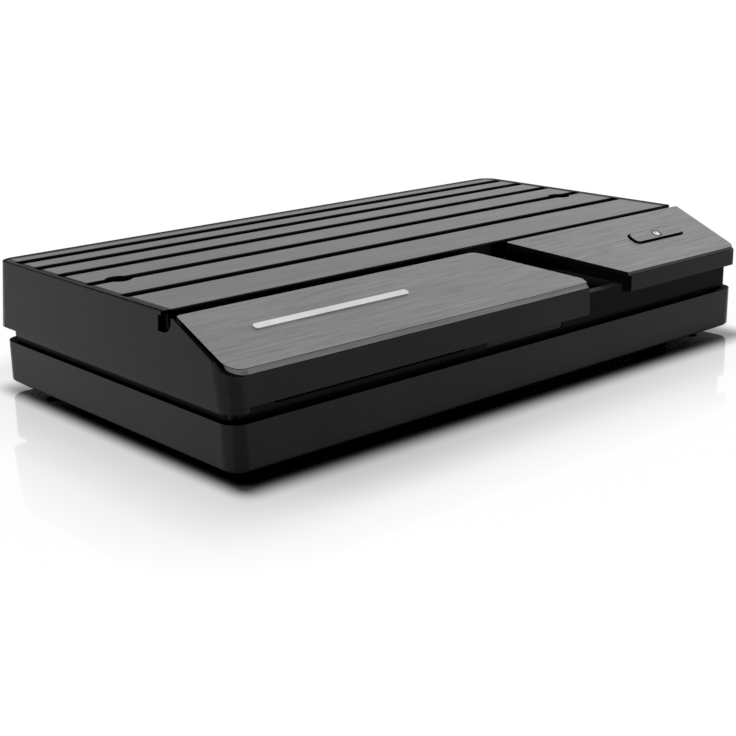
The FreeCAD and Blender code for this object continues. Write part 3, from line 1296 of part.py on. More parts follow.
# --- card reader, front board ---
def card_reader():
    x0 = READER_X
    x1 = READER_X + READER_WIDTH
    y1 = READER_Y + READER_LENGTH
    body = box(x0, x1, READER_Y, y1, READER_Z, READER_Z + READER_HEIGHT)
    slot_low = CARD_SLOT_Z + (CARD_SLOT_HEIGHT - READER_SLOT_HEIGHT) / 2
    edge = (READER_WIDTH - READER_SLOT_WIDTH) / 2
    inset = READER_WINDOW_INSET
    slot = box(x0 + edge, x1 - edge, READER_Y - 1, y1 - READER_END, slot_low, slot_low + READER_SLOT_HEIGHT)
    window = box(x0 + inset, x1 - inset, READER_Y + inset, y1 - inset, slot_low, READER_Z + READER_HEIGHT + 1)
    legs = []
    for x in (x0 + READER_LEG_INSET, x1 - READER_LEG_INSET):
        for y in (READER_Y + READER_LEG_INSET, y1 - READER_LEG_INSET):
            legs.append(cylinder(x, y, BOARD_TOP, READER_LEG_RADIUS, READER_Z - BOARD_TOP))
    return joined([body.cut(joined([slot, window]))] + legs)


def card_reader_contacts():
    """Two rows of contact pads on the floor of the reader's slot."""
    slot_low = CARD_SLOT_Z + (CARD_SLOT_HEIGHT - READER_SLOT_HEIGHT) / 2
    middle = READER_X + READER_WIDTH / 2
    parts = []
    for row in (0, 1):
        for i in range(READER_CONTACTS):
            x = middle + (i - (READER_CONTACTS - 1) / 2) * READER_CONTACT_PITCH - READER_CONTACT_WIDTH / 2
            y = READER_Y + READER_LENGTH / 2 + row * READER_ROW_PITCH - READER_CONTACT_LENGTH / 2
            parts.append(box(x, x + READER_CONTACT_WIDTH, y, y + READER_CONTACT_LENGTH,
                             slot_low, slot_low + READER_CONTACT_HEIGHT))
    return Part.makeCompound(parts)


def front_board():
    return box(FRONT_BOARD_X, FRONT_BOARD_X + FRONT_BOARD_LENGTH, FRONT_BOARD_Y, FRONT_BOARD_Y + FRONT_BOARD_THICKNESS,
               BOARD_TOP, FRONT_BOARD_TOP)


def infrared_receiver():
    half = RECEIVER_WIDTH / 2
    low = WINDOW_MID_Z - RECEIVER_HEIGHT / 2
    body = box(WINDOW_MID_X - half, WINDOW_MID_X + half, FRONT_BOARD_Y - RECEIVER_DEPTH, FRONT_BOARD_Y,
               low, low + RECEIVER_HEIGHT)
    dome = Part.makeSphere(RECEIVER_DOME, Vector(WINDOW_MID_X, FRONT_BOARD_Y - RECEIVER_DEPTH + RECEIVER_DOME_SET,
                                                 WINDOW_MID_Z))
    return joined([body, dome.common(box(0, WIDTH, 0, FRONT_BOARD_Y, 0, HEIGHT))])


def status_lights():
    half = STATUS_LIGHT_SIZE / 2
    return Part.makeCompound([box(x - half, x + half, FRONT_BOARD_Y - STATUS_LIGHT_DEPTH, FRONT_BOARD_Y,
                                  WINDOW_MID_Z - half, WINDOW_MID_Z + half)
                              for x in (WINDOW_MID_X - STATUS_LIGHT_PITCH, WINDOW_MID_X + STATUS_LIGHT_PITCH)])


# --- standby button ---
def button_slab(grow, low, high):
    radius = BUTTON_RADIUS + max(grow, 0) / 2
    return slab(BUTTON_X - grow, BUTTON_X + BUTTON_LENGTH + grow, BUTTON_UP - grow, BUTTON_UP + BUTTON_WIDTH + grow,
                low, high, radius)


def standby_button():
    cap = button_slab(0, FLANGE_TOP_W, BUTTON_PROUD)
    flange = button_slab(BUTTON_FLANGE, FLANGE_TOP_W - FLANGE_THICKNESS, FLANGE_TOP_W)
    stem = cylinder(BUTTON_MID_X, BUTTON_MID_V, STEM_END_W, STEM_RADIUS, STEM_LENGTH)
    pipe = cylinder(BUTTON_MID_X, BUTTON_MID_V, FLANGE_TOP_W - FLANGE_THICKNESS, LIGHT_PIPE_RADIUS, FAR)
    stem_join = cylinder(BUTTON_MID_X, BUTTON_MID_V, STEM_END_W, STEM_RADIUS, STEM_LENGTH + LIGHT_PIPE_SEAT)
    return on_slope(joined([cap, flange, stem]).cut(pipe.cut(stem_join)))


def button_light_pipe():
    low = FLANGE_TOP_W - FLANGE_THICKNESS + LIGHT_PIPE_SEAT
    return on_slope(cylinder(BUTTON_MID_X, BUTTON_MID_V, low, LIGHT_PIPE_RADIUS, BUTTON_PROUD - low))


def tact_switch_body():
    half = SWITCH_SIZE / 2
    body = box(BUTTON_MID_X - half, BUTTON_MID_X + half, BUTTON_MID_V - half, BUTTON_MID_V + half,
               BUTTON_BOARD_W, SWITCH_TOP_W)
    depth = PLUNGER_DEPTH + BUTTON_TRAVEL + PLUNGER_ROOM
    well = cylinder(BUTTON_MID_X, BUTTON_MID_V, SWITCH_TOP_W - depth, PLUNGER_RADIUS + PLUNGER_CLEARANCE, FAR)
    return on_slope(body.cut(well))


def tact_switch_plunger():
    low = SWITCH_TOP_W - PLUNGER_DEPTH
    return on_slope(cylinder(BUTTON_MID_X, BUTTON_MID_V, low, PLUNGER_RADIUS, STEM_END_W - low))


def button_board():
    half_u = BUTTON_BOARD_LENGTH / 2
    half_v = BUTTON_BOARD_WIDTH / 2
    board = box(BUTTON_MID_X - half_u, BUTTON_MID_X + half_u, BUTTON_MID_V - half_v, BUTTON_MID_V + half_v,
                BUTTON_BOARD_W - BUTTON_BOARD_THICKNESS, BUTTON_BOARD_W)
    holes = [cylinder(u, v, -FAR / 2, SMALL_SCREW_RADIUS + SCREW_CLEARANCE, FAR)
             for u, v in button_board_places()]
    return on_slope(board.cut(joined(holes)))


def button_board_screws():
    low = BUTTON_BOARD_W - BUTTON_BOARD_THICKNESS
    return Part.makeCompound([on_slope(small_screw(u, v, low, BUTTON_SCREW_LENGTH, UP))
                              for u, v in button_board_places()])


def flex_path(shift):
    """Points of one face of the flat cable, from the button board down to the main board."""
    down = Vector(0, math.sin(SLOPE), -math.cos(SLOPE))
    across = Vector(0, math.cos(SLOPE), math.sin(SLOPE))
    start = FLEX_START + across * shift
    bend = start + down * (HEADER_SLOT + FLEX_STRAIGHT)
    centre = FLEX_START + down * (HEADER_SLOT + FLEX_STRAIGHT) - across * FLEX_BEND
    radius = FLEX_BEND + shift
    half = centre + Vector(0, math.cos(SLOPE / 2), math.sin(SLOPE / 2)) * radius
    turned = centre + BACK * radius
    return start, bend, half, turned, Vector(0, turned.y, BOARD_TOP + HEADER_HEIGHT - HEADER_SLOT)


def button_flex_cable():
    near = flex_path(-FLEX_THICKNESS / 2)
    away = flex_path(FLEX_THICKNESS / 2)
    edges = [Part.LineSegment(near[0], near[1]), Part.Arc(near[1], near[2], near[3]),
             Part.LineSegment(near[3], near[4]), Part.LineSegment(near[4], away[4]),
             Part.LineSegment(away[4], away[3]), Part.Arc(away[3], away[2], away[1]),
             Part.LineSegment(away[1], away[0]), Part.LineSegment(away[0], near[0])]
    cable = Part.Face(Part.Wire([edge.toShape() for edge in edges])).extrude(Vector(FLEX_WIDTH, 0, 0))
    cable.translate(Vector(BUTTON_MID_X - FLEX_WIDTH / 2, 0, 0))
    return cable


def flex_header():
    """Header that stands on z = 0 with a slot in its top for the flat cable."""
    body = box(-HEADER_LENGTH / 2, HEADER_LENGTH / 2, -HEADER_WIDTH / 2, HEADER_WIDTH / 2, 0, HEADER_HEIGHT)
    long = FLEX_WIDTH / 2 + HEADER_PLAY
    thick = FLEX_THICKNESS / 2 + HEADER_PLAY
    return body.cut(box(-long, long, -thick, thick, HEADER_HEIGHT - HEADER_SLOT - HEADER_PLAY, HEADER_HEIGHT + 1))


def flex_headers():
    lower = flex_header()
    lower.translate(Vector(BUTTON_MID_X, flex_path(0)[4].y, BOARD_TOP))
    upper = flex_header()
    upper.rotate(Vector(0, 0, 0), Vector(1, 0, 0), 180)
    upper.translate(Vector(BUTTON_MID_X, BUTTON_MID_V, BUTTON_BOARD_W - BUTTON_BOARD_THICKNESS))
    return Part.makeCompound([lower, on_slope(upper)])


def button_lamp():
    half = LAMP_SIZE / 2
    return on_slope(box(LAMP_X - half, LAMP_X + half, BUTTON_MID_V - half, BUTTON_MID_V + half,
                        BUTTON_BOARD_W, BUTTON_BOARD_W + LAMP_HEIGHT))


# --- screws ---
def small_screw(x, y, z, length, axis):
    return screw(x, y, z, length, axis, SMALL_SCREW_RADIUS, SMALL_HEAD_RADIUS, SMALL_HEAD_HEIGHT)


def case_screws():
    start = FLOOR + SCREW_HEAD_HEIGHT
    return Part.makeCompound([screw(x, y, start, POST_TOP + CASE_SCREW_BITE - start) for x, y in corner_posts()])


def top_plate_screws():
    down = Vector(0, 0, -1)
    length = CHANNEL_FLOOR - FLOOR - TOP_SCREW_END
    return Part.makeCompound([screw(x, y, CHANNEL_FLOOR, length, down) for x, y in top_screws()])


def main_board_screws():
    down = Vector(0, 0, -1)
    length = BOARD_THICKNESS + BOARD_SCREW_BITE
    return Part.makeCompound([small_screw(x, y, BOARD_TOP, length, down) for x, y in board_screws()])


def rear_panel_screws():
    parts = [small_screw(x, PANEL_Y, z, PANEL_THICKNESS + FRAME_WALL, BACK * -1) for x, z in panel_screws()]
    return Part.makeCompound(parts)


def build():
    os.makedirs("parts", exist_ok=True)
    save("base_tray", tray_shape())
    save("rubber_feet", rubber_feet())
    save("inner_frame", inner_frame())
    save("upper_cover", upper_cover())
    save("ribbed_top_plate", ribbed_top_plate())
    save("left_front_plate", left_front_plate())
    save("trim_bar", trim_bar())
    save("right_front_block", right_front_block())
    save("right_front_plate", right_front_plate())
    save("front_fascia", front_fascia())
    save("infrared_window", infrared_window())
    save("standby_button", standby_button())
    save("button_light_pipe", button_light_pipe())
    save("tact_switch_body", tact_switch_body())
    save("tact_switch_plunger", tact_switch_plunger())
    save("button_board", button_board())
    save("button_board_screws", button_board_screws())
    save("button_lamp", button_lamp())
    save("button_flex_cable", button_flex_cable())
    save("flex_headers", flex_headers())
    save("rear_panel", rear_panel())
    save("rear_panel_screws", rear_panel_screws())
    save("dc_jack_body", dc_jack_body())
    save("dc_jack_pin", dc_jack_pin())
    save("optical_socket", optical_socket())
    save("optical_shutter", optical_shutter())
    save("service_socket", shell_socket("service", SERVICE_WIDTH, SERVICE_HEIGHT, SERVICE_LENGTH))
    save("service_tongue", socket_tongue("service", SERVICE_WIDTH, SERVICE_HEIGHT, SERVICE_LENGTH,
                                         SERVICE_TONGUE_SIDE, SERVICE_TONGUE))
    save("usb_shells", Part.makeCompound([shell_socket("usb%d" % i, USB_WIDTH, USB_HEIGHT, USB_LENGTH)
                                          for i in range(USB_COUNT)]))
    save("usb_tongues", Part.makeCompound([socket_tongue("usb%d" % i, USB_WIDTH, USB_HEIGHT, USB_LENGTH,
                                                         USB_TONGUE_SIDE, USB_TONGUE) for i in range(USB_COUNT)]))
    save("hdmi_shell", hdmi_shell())
    save("hdmi_tongue", socket_tongue("hdmi", HDMI_WIDTH, HDMI_HEIGHT, HDMI_LENGTH, HDMI_TONGUE_SIDE, HDMI_TONGUE))
    save("network_socket", network_socket())
    save("network_contacts", network_contacts())
    save("tuner_can", tuner_can())
    save("tuner_lid", tuner_lid())
    save("aerial_barrels", aerial_barrels())
    save("aerial_insulators", aerial_tubes(AERIAL_BORE, AERIAL_CONTACT, AERIAL_INSULATOR_SET))
    save("aerial_contacts", aerial_contacts())
    save("aerial_nuts", aerial_nuts())
    save("main_board", main_board())
    save("processor", on_board(CHIP_X, CHIP_Y, CHIP_SIZE, CHIP_SIZE, CHIP_HEIGHT))
    save("thermal_pad", on_board(CHIP_X, CHIP_Y, CHIP_SIZE, CHIP_SIZE, PAD_THICKNESS, CHIP_HEIGHT))
    save("heatsink", heatsink())
    save("heatsink_pins", heatsink_pins())
    save("memory_chips", memory_chips())
    save("flash_chip", on_board(FLASH_X, FLASH_Y, FLASH_WIDTH, FLASH_LENGTH, MEMORY_HEIGHT))
    save("clock_crystal", on_board(FLASH_X, CRYSTAL_Y, CRYSTAL_WIDTH, CRYSTAL_LENGTH, CRYSTAL_HEIGHT))
    save("power_inductors", power_inductors())
    save("capacitors", capacitors())
    save("wireless_module", on_board(BOARD_RIGHT - WIFI_WIDTH, BOARD_FRONT_Y + WIFI_FROM_FRONT, WIFI_WIDTH, WIFI_LENGTH,
                                     WIFI_HEIGHT))
    save("card_reader", card_reader())
    save("card_reader_contacts", card_reader_contacts())
    save("front_board", front_board())
    save("infrared_receiver", infrared_receiver())
    save("status_lights", status_lights())
    save("case_screws", case_screws())
    save("top_plate_screws", top_plate_screws())
    save("main_board_screws", main_board_screws())


build()
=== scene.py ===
import json
import math

import bmesh
import bpy
from mathutils import Matrix, Vector


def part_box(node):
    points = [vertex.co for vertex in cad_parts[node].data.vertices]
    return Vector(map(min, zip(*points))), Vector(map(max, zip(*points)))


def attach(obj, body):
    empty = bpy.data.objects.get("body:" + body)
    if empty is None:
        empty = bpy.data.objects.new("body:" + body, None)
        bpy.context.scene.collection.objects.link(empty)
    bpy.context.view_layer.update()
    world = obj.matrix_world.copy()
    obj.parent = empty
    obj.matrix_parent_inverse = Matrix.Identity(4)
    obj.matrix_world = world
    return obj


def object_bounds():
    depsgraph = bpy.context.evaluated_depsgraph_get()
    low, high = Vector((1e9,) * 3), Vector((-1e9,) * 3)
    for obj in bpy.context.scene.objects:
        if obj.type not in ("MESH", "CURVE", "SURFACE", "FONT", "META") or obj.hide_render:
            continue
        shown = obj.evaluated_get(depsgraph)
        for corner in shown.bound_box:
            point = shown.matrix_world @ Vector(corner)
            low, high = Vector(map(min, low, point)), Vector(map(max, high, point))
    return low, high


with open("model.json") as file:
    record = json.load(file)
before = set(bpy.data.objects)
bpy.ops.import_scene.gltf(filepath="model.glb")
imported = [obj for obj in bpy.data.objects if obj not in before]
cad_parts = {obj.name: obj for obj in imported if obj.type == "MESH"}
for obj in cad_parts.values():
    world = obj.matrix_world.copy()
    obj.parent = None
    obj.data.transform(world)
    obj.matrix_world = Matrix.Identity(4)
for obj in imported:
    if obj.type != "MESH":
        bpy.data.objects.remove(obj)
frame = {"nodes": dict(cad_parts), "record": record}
cad_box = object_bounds()
nodes = frame["nodes"]

bpy.context.scene.view_settings.view_transform = "Standard"

# all in metres: x from the object's middle to its right, y from there to its back, z up from the table
MM = 0.001
HALF_WIDTH = cad_box[1][0]
HALF_DEPTH = cad_box[1][1]
LEFT = (-1, 0, 0)
RIGHT = (1, 0, 0)
FRONT = (0, -1, 0)
BACK = (0, 1, 0)
UP = (0, 0, 1)
SLOPE_RISE = 11.05 * MM           # of the two front plates
SLOPE_RUN = 24.5 * MM
SLOPE = math.atan2(SLOPE_RISE, SLOPE_RUN)
SLOPE_NORMAL = (0, -math.sin(SLOPE), math.cos(SLOPE))


# --- camera, fitted to the photograph's straight edges ---
FOCAL_PIXELS = 1428.8
IMAGE_PIXELS = 736
SENSOR_WIDTH = 36.0
CAMERA_CLIP = (0.01, 100.0)
CAMERA_PLACE = Vector((-0.3090, -0.3399, 0.1334))
CAMERA_YAW = math.radians(41.376)
CAMERA_PITCH = math.radians(16.643)
CAMERA_ROLL = math.radians(-0.923)


def make_camera():
    data = bpy.data.cameras.new("camera")
    data.sensor_width = SENSOR_WIDTH
    data.lens = FOCAL_PIXELS / IMAGE_PIXELS * SENSOR_WIDTH
    data.clip_start, data.clip_end = CAMERA_CLIP
    camera = bpy.data.objects.new("camera", data)
    bpy.context.scene.collection.objects.link(camera)
    ahead = Vector((math.sin(CAMERA_YAW) * math.cos(CAMERA_PITCH),
                    math.cos(CAMERA_YAW) * math.cos(CAMERA_PITCH), -math.sin(CAMERA_PITCH)))
    level = Vector((math.cos(CAMERA_YAW), -math.sin(CAMERA_YAW), 0))
    above = level.cross(ahead)
    right = level * math.cos(CAMERA_ROLL) + above * math.sin(CAMERA_ROLL)
    up = above * math.cos(CAMERA_ROLL) - level * math.sin(CAMERA_ROLL)
    turn = Matrix((right, up, -ahead)).transposed()
    camera.matrix_world = Matrix.Translation(CAMERA_PLACE) @ turn.to_4x4()
    bpy.context.scene.camera = camera


# --- short calls for shader nodes ---
WHITE = (1, 1, 1, 1)
NOISE_SPAN = (0.3, 0.7)           # most of a noise's values lie between these


def math_node(tree, operation, *values):
    """Each value is a number or a socket."""
    node = tree.nodes.new("ShaderNodeMath")
    node.operation = operation
    for socket, value in zip(node.inputs, values):
        if isinstance(value, (int, float)):
            socket.default_value = value
        else:
            tree.links.new(value, socket)
    return node.outputs[0]


def product(tree, first, second):
    return math_node(tree, "MULTIPLY", first, second)


def rest_of_one(tree, share):
    return math_node(tree, "SUBTRACT", 1.0, share)


def vector_node(tree, operation, first, second=None):
    """The first vector is a socket and the second is fixed."""
    node = tree.nodes.new("ShaderNodeVectorMath")
    node.operation = operation
    tree.links.new(first, node.inputs[0])
    if second is not None:
        node.inputs[1].default_value = second
    return node.outputs["Value" if operation in ("DOT_PRODUCT", "LENGTH") else "Vector"]


def scaled(tree, colour, share):
    node = tree.nodes.new("ShaderNodeVectorMath")
    node.operation = "SCALE"
    tree.links.new(colour, node.inputs[0])
    tree.links.new(share, node.inputs["Scale"])
    return node.outputs["Vector"]


def object_place(tree):
    return tree.nodes.new("ShaderNodeTexCoord").outputs["Object"]


def place_along(tree, side):
    """How far a point lies towards a side, from the middle of the object's base."""
    return vector_node(tree, "DOT_PRODUCT", object_place(tree), side)


def facing(tree, side):
    """How far the surface looks towards a side: one if straight that way, nought if edge on."""
    normal = tree.nodes.new("ShaderNodeNewGeometry").outputs["Normal"]
    return vector_node(tree, "DOT_PRODUCT", normal, side)


def ranged(tree, value, low, high, start=NOISE_SPAN[0], end=NOISE_SPAN[1]):
    """Low up to start, high from end on, and even in between."""
    node = tree.nodes.new("ShaderNodeMapRange")
    node.inputs["From Min"].default_value = start
    node.inputs["From Max"].default_value = end
    node.inputs["To Min"].default_value = low
    node.inputs["To Max"].default_value = high
    tree.links.new(value, node.inputs["Value"])
    return node.outputs["Result"]


def soft(tree, value, low, high, start, end):
    """Like ranged, with a smooth start and end."""
    result = ranged(tree, value, low, high, start, end)
    result.node.interpolation_type = "SMOOTHSTEP"
    return result


def two_tone(tree, value, dark, light, start=NOISE_SPAN[0], end=NOISE_SPAN[1]):
    ramp = tree.nodes.new("ShaderNodeValToRGB")
    dark_end, light_end = ramp.color_ramp.elements
    dark_end.position = start
    dark_end.color = (*dark, 1)
    light_end.position = end
    light_end.color = (*light, 1)
    tree.links.new(value, ramp.inputs["Fac"])
    return ramp.outputs["Color"]


def noise(tree, waves, detail, rough=0.55):
    """Noise in the part's own coordinates. Waves to the metre are one number, or one for each axis."""
    mapping = tree.nodes.new("ShaderNodeMapping")
    mapping.inputs["Scale"].default_value = (waves,) * 3 if isinstance(waves, (int, float)) else waves
    tree.links.new(object_place(tree), mapping.inputs["Vector"])
    texture = tree.nodes.new("ShaderNodeTexNoise")
    texture.inputs["Scale"].default_value = 1.0
    texture.inputs["Detail"].default_value = detail
    texture.inputs["Roughness"].default_value = rough
    tree.links.new(mapping.outputs["Vector"], texture.inputs["Vector"])
    return texture.outputs["Fac"]


def bumped(tree, shader, value, strength, depth):
    bump = tree.nodes.new("ShaderNodeBump")
    bump.inputs["Strength"].default_value = strength
    bump.inputs["Distance"].default_value = depth
    tree.links.new(value, bump.inputs["Height"])
    tree.links.new(bump.outputs["Normal"], shader.inputs["Normal"])


def seen_directly(tree):
    """One for rays from the camera, also by way of gloss or glass, and nought for those that carry light."""
    path = tree.nodes.new("ShaderNodeLightPath")
    glossy = math_node(tree, "MAXIMUM", path.outputs["Is Camera Ray"], path.outputs["Is Glossy Ray"])
    return math_node(tree, "MAXIMUM", glossy, path.outputs["Is Transmission Ray"])


# --- light: soft even room light, brighter above and behind ---
ROOM_MIDDLE = 0.68                # strength of the light from the side that is neither bright nor dim
ROOM_SLOPE = (0.08, 0.30, 0.50)   # what it gains towards the right, the back and above
ROOM_LEAST = 0.02


def make_room():
    """World light that changes smoothly with direction, and is plain white where it is seen or mirrored."""
    world = bpy.data.worlds.new("room")
    bpy.context.scene.world = world
    world.use_nodes = True
    tree = world.node_tree
    direction = tree.nodes.new("ShaderNodeTexCoord").outputs["Generated"]
    toward = vector_node(tree, "DOT_PRODUCT", direction, ROOM_SLOPE)
    level = math_node(tree, "MAXIMUM", math_node(tree, "ADD", toward, ROOM_MIDDLE), ROOM_LEAST)
    direct = seen_directly(tree)
    unseen = product(tree, rest_of_one(tree, direct), level)
    background = tree.nodes["Background"]
    background.inputs["Color"].default_value = WHITE
    tree.links.new(math_node(tree, "ADD", unseen, direct), background.inputs["Strength"])


# --- floor: pale and polished, with the object's shade drawn on it ---
FLOOR_X = (-12.0, 40.0)           # its ends, past all that the camera sees
FLOOR_Y = (-26.0, 26.0)
FLOOR_DROP = 0.02 * MM            # keeps it clear of the feet's undersides
FLOOR_BOUNCE = 0.75               # share of the light that the floor throws back on the object
FLOOR_EVEN = 0.85                 # share of the floor's white that the room's light doesn't change
FLOOR_IOR = 1.72
FLOOR_ROUGHNESS = 0.05
REFLECTION_FADE = (10 * MM, 52 * MM)  # distance from the object over which its reflection fades
# the painted shadow is black under the object, and thins out between these distances past its sides
BLACK_EDGES = ((LEFT, -2.4 * MM, 5.6 * MM), (RIGHT, -7.5 * MM, 7.0 * MM),
               (FRONT, 1.05 * MM, 12.55 * MM), (BACK, -9.45 * MM, 6.55 * MM))
# outside a rectangle that lies this far inside the object's, the painted shadow is greyer, which rounds its
# tips
TIP_INSET = (6.5 * MM, 2.95 * MM)
TIP_EDGE = (3.2 * MM, 7.5 * MM)
TIP_GREY = 0.07
# weak wide painted shade round it: x where it comes in at the left and goes out to the right, and y where it
# ends
WIDE_TONE = 0.28
WIDE_LEFT = (-140 * MM, -85 * MM)
WIDE_RIGHT = (-60 * MM, 110 * MM)
WIDE_OUT = (HALF_DEPTH + 11.55 * MM, HALF_DEPTH + 36.55 * MM)


def distance_out(tree, inset_x=0.0, inset_y=0.0):
    """Distance on the floor out of the object's rectangle, or out of one that lies inside it."""
    outward = vector_node(tree, "ABSOLUTE", object_place(tree))
    outward = vector_node(tree, "SUBTRACT", outward, (HALF_WIDTH - inset_x, HALF_DEPTH - inset_y, 0))
    return vector_node(tree, "LENGTH", vector_node(tree, "MAXIMUM", outward, (0, 0, 0)))


def clear_of_shade(tree):
    """Share of its white that the floor keeps under the painted shadow: nought under the object, one far
    away.
    """
    black = 1.0
    for side, start, end in BLACK_EDGES:
        reach = HALF_WIDTH if side in (LEFT, RIGHT) else HALF_DEPTH
        inside = soft(tree, place_along(tree, side), 1.0, 0.0, reach + start, reach + end)
        black = product(tree, black, inside)
    tip = soft(tree, distance_out(tree, *TIP_INSET), 0.0, TIP_GREY, *TIP_EDGE)
    clear = math_node(tree, "MAXIMUM", rest_of_one(tree, black), tip)
    x = place_along(tree, RIGHT)
    wide = math_node(tree, "MINIMUM", ranged(tree, x, 0.0, WIDE_TONE, *WIDE_LEFT),
                     ranged(tree, x, WIDE_TONE, 0.0, *WIDE_RIGHT))
    y_out = math_node(tree, "ABSOLUTE", place_along(tree, BACK))
    wide = product(tree, wide, soft(tree, y_out, 1.0, 0.0, *WIDE_OUT))
    return product(tree, clear, rest_of_one(tree, wide))


def floor_gloss(tree):
    """The glossy shader of the floor, and its share, which fades away from the object."""
    polish = tree.nodes.new("ShaderNodeBsdfGlossy")
    polish.inputs["Color"].default_value = WHITE
    polish.inputs["Roughness"].default_value = FLOOR_ROUGHNESS
    fresnel = tree.nodes.new("ShaderNodeFresnel")
    fresnel.inputs["IOR"].default_value = FLOOR_IOR
    kept = ranged(tree, distance_out(tree), 1.0, 0.0, *REFLECTION_FADE)
    return polish.outputs[0], product(tree, fresnel.outputs[0], kept)


def floor_material():
    """White where the floor lies open, of which the room's light changes only a small share."""
    material = bpy.data.materials.new("floor_white")
    material.use_nodes = True
    tree = material.node_tree
    tree.nodes.clear()
    direct = seen_directly(tree)
    seen = product(tree, direct, clear_of_shade(tree))
    bounced = product(tree, rest_of_one(tree, direct), FLOOR_BOUNCE)
    matt = tree.nodes.new("ShaderNodeBsdfDiffuse")
    uneven = product(tree, seen, 1 - FLOOR_EVEN)
    tree.links.new(math_node(tree, "ADD", uneven, bounced), matt.inputs["Color"])
    even = tree.nodes.new("ShaderNodeEmission")
    tree.links.new(product(tree, seen, FLOOR_EVEN), even.inputs["Strength"])
    both = tree.nodes.new("ShaderNodeAddShader")
    tree.links.new(matt.outputs[0], both.inputs[0])
    tree.links.new(even.outputs[0], both.inputs[1])
    gloss, share = floor_gloss(tree)
    mix = tree.nodes.new("ShaderNodeMixShader")
    tree.links.new(share, mix.inputs[0])
    tree.links.new(both.outputs[0], mix.inputs[1])
    tree.links.new(gloss, mix.inputs[2])
    output = tree.nodes.new("ShaderNodeOutputMaterial")
    tree.links.new(mix.outputs[0], output.inputs["Surface"])
    return material


def make_floor():
    corners = [(FLOOR_X[i], FLOOR_Y[j], -FLOOR_DROP) for i, j in ((0, 0), (1, 0), (1, 1), (0, 1))]
    mesh = bpy.data.meshes.new("floor")
    mesh.from_pydata(corners, [], [(0, 1, 2, 3)])
    floor = bpy.data.objects.new("floor", mesh)
    bpy.context.scene.collection.objects.link(floor)
    mesh.materials.append(floor_material())


# --- plastics and metals; patches, clouds and grains are in waves to the metre ---
PATCH_WAVES = 45.0
PATCH_CONTRAST = 0.10
PLASTIC_ROUGH_SPREAD = 0.05
PLASTIC_GRAIN_DEPTH = 0.03 * MM
CLOUD_WAVES = 120.0
CLOUD_TONES = (0.88, 1.06)
METAL_GRAIN = 1400.0
METAL_BUMP = 0.10
METAL_ROUGH_SPREAD = (-0.06, 0.08)
METAL_GRAIN_DEPTH = 0.02 * MM


def new_material(name):
    material = bpy.data.materials.new(name)
    material.use_nodes = True
    tree = material.node_tree
    return material, tree, tree.nodes["Principled BSDF"]


def shade(tone, share):
    return tuple(c * share for c in tone)


def plastic(name, tone, rough, level, grain=2600.0, bump=0.12):
    """Moulded plastic with a fine sprayed or etched grain."""
    material, tree, shader = new_material(name)
    patches = noise(tree, PATCH_WAVES, detail=4.0)
    face = two_tone(tree, patches, shade(tone, 1 - PATCH_CONTRAST), shade(tone, 1 + PATCH_CONTRAST))
    tree.links.new(face, shader.inputs["Base Color"])
    fine = noise(tree, grain, detail=2.0)
    roughness = ranged(tree, fine, rough - PLASTIC_ROUGH_SPREAD, rough + PLASTIC_ROUGH_SPREAD)
    tree.links.new(roughness, shader.inputs["Roughness"])
    shader.inputs["Specular IOR Level"].default_value = level
    bumped(tree, shader, fine, bump, PLASTIC_GRAIN_DEPTH)
    return material


def sheet_metal(name, tone, rough, metal=1.0):
    """Plated or plain metal with faint clouding."""
    material, tree, shader = new_material(name)
    clouds = noise(tree, CLOUD_WAVES, detail=5.0)
    face = two_tone(tree, clouds, *(shade(tone, share) for share in CLOUD_TONES))
    tree.links.new(face, shader.inputs["Base Color"])
    fine = noise(tree, METAL_GRAIN, detail=2.0)
    roughness = ranged(tree, fine, *(rough + spread for spread in METAL_ROUGH_SPREAD))
    tree.links.new(roughness, shader.inputs["Roughness"])
    shader.inputs["Metallic"].default_value = metal
    bumped(tree, shader, fine, METAL_BUMP, METAL_GRAIN_DEPTH)
    return material


# --- black plastic of the case: some of its faces carry painted shade ---
PLASTIC_TINT = (0.3, 0.3, 0.3, 1)     # tint of its gloss
SHADED_TONE = 0.3                   # share of its tone that the plastic keeps on its faces with painted shade
GROOVE_WALL_HEIGHT = 31 * MM      # above this the cover's faces that look ahead are walls of its grooves, which get painted shade
GROOVE_WALL_RANGE = (0.5, 0.6)
CORNER_SIDE = (-0.46, -0.89, 0)   # the way that the upright corner at the front left looks; painted shade darkens it
CORNER_RANGE = (0.91, 0.96)
# share of its tone that the corner keeps under the painted shade
CORNER_SHADE = 0.6


# mask of the groove walls that get painted shade
def groove_walls(tree):
    high = ranged(tree, place_along(tree, UP), 0.0, 1.0, GROOVE_WALL_HEIGHT, GROOVE_WALL_HEIGHT + MM)
    return product(tree, high, ranged(tree, facing(tree, FRONT), 0.0, 1.0, *GROOVE_WALL_RANGE))


def black_plastic(name, tone, rough, level, shaded_side=UP, shaded_range=(0.6, 0.95), shaded_metallic=1.0,
                  shaded_grooves=False):
    """Plastic with painted shade: it loses its gloss and most of its tone on the faces that look the way of
    shaded_side.
    """
    material = plastic(name, tone, rough, level)
    tree = material.node_tree
    shader = tree.nodes["Principled BSDF"]
    toward = facing(tree, shaded_side)
    if shaded_grooves:
        toward = math_node(tree, "MAXIMUM", toward, groove_walls(tree))
    # painted shade: darker on the faces that look the way of shaded_side, on the groove walls and on the
    # front-left corner
    kept = product(tree, ranged(tree, toward, 1.0, SHADED_TONE, *shaded_range),
                   ranged(tree, facing(tree, CORNER_SIDE), 1.0, CORNER_SHADE, *CORNER_RANGE))
    face = shader.inputs["Base Color"].links[0].from_socket
    tree.links.new(scaled(tree, face, kept), shader.inputs["Base Color"])
    # the faces with painted shade turn metallic, and a metallic face mirrors no more than its own tone,
    # which is dark here
    tree.links.new(ranged(tree, toward, 0.0, shaded_metallic, *shaded_range), shader.inputs["Metallic"])
    shader.inputs["Specular Tint"].default_value = PLASTIC_TINT
    return material
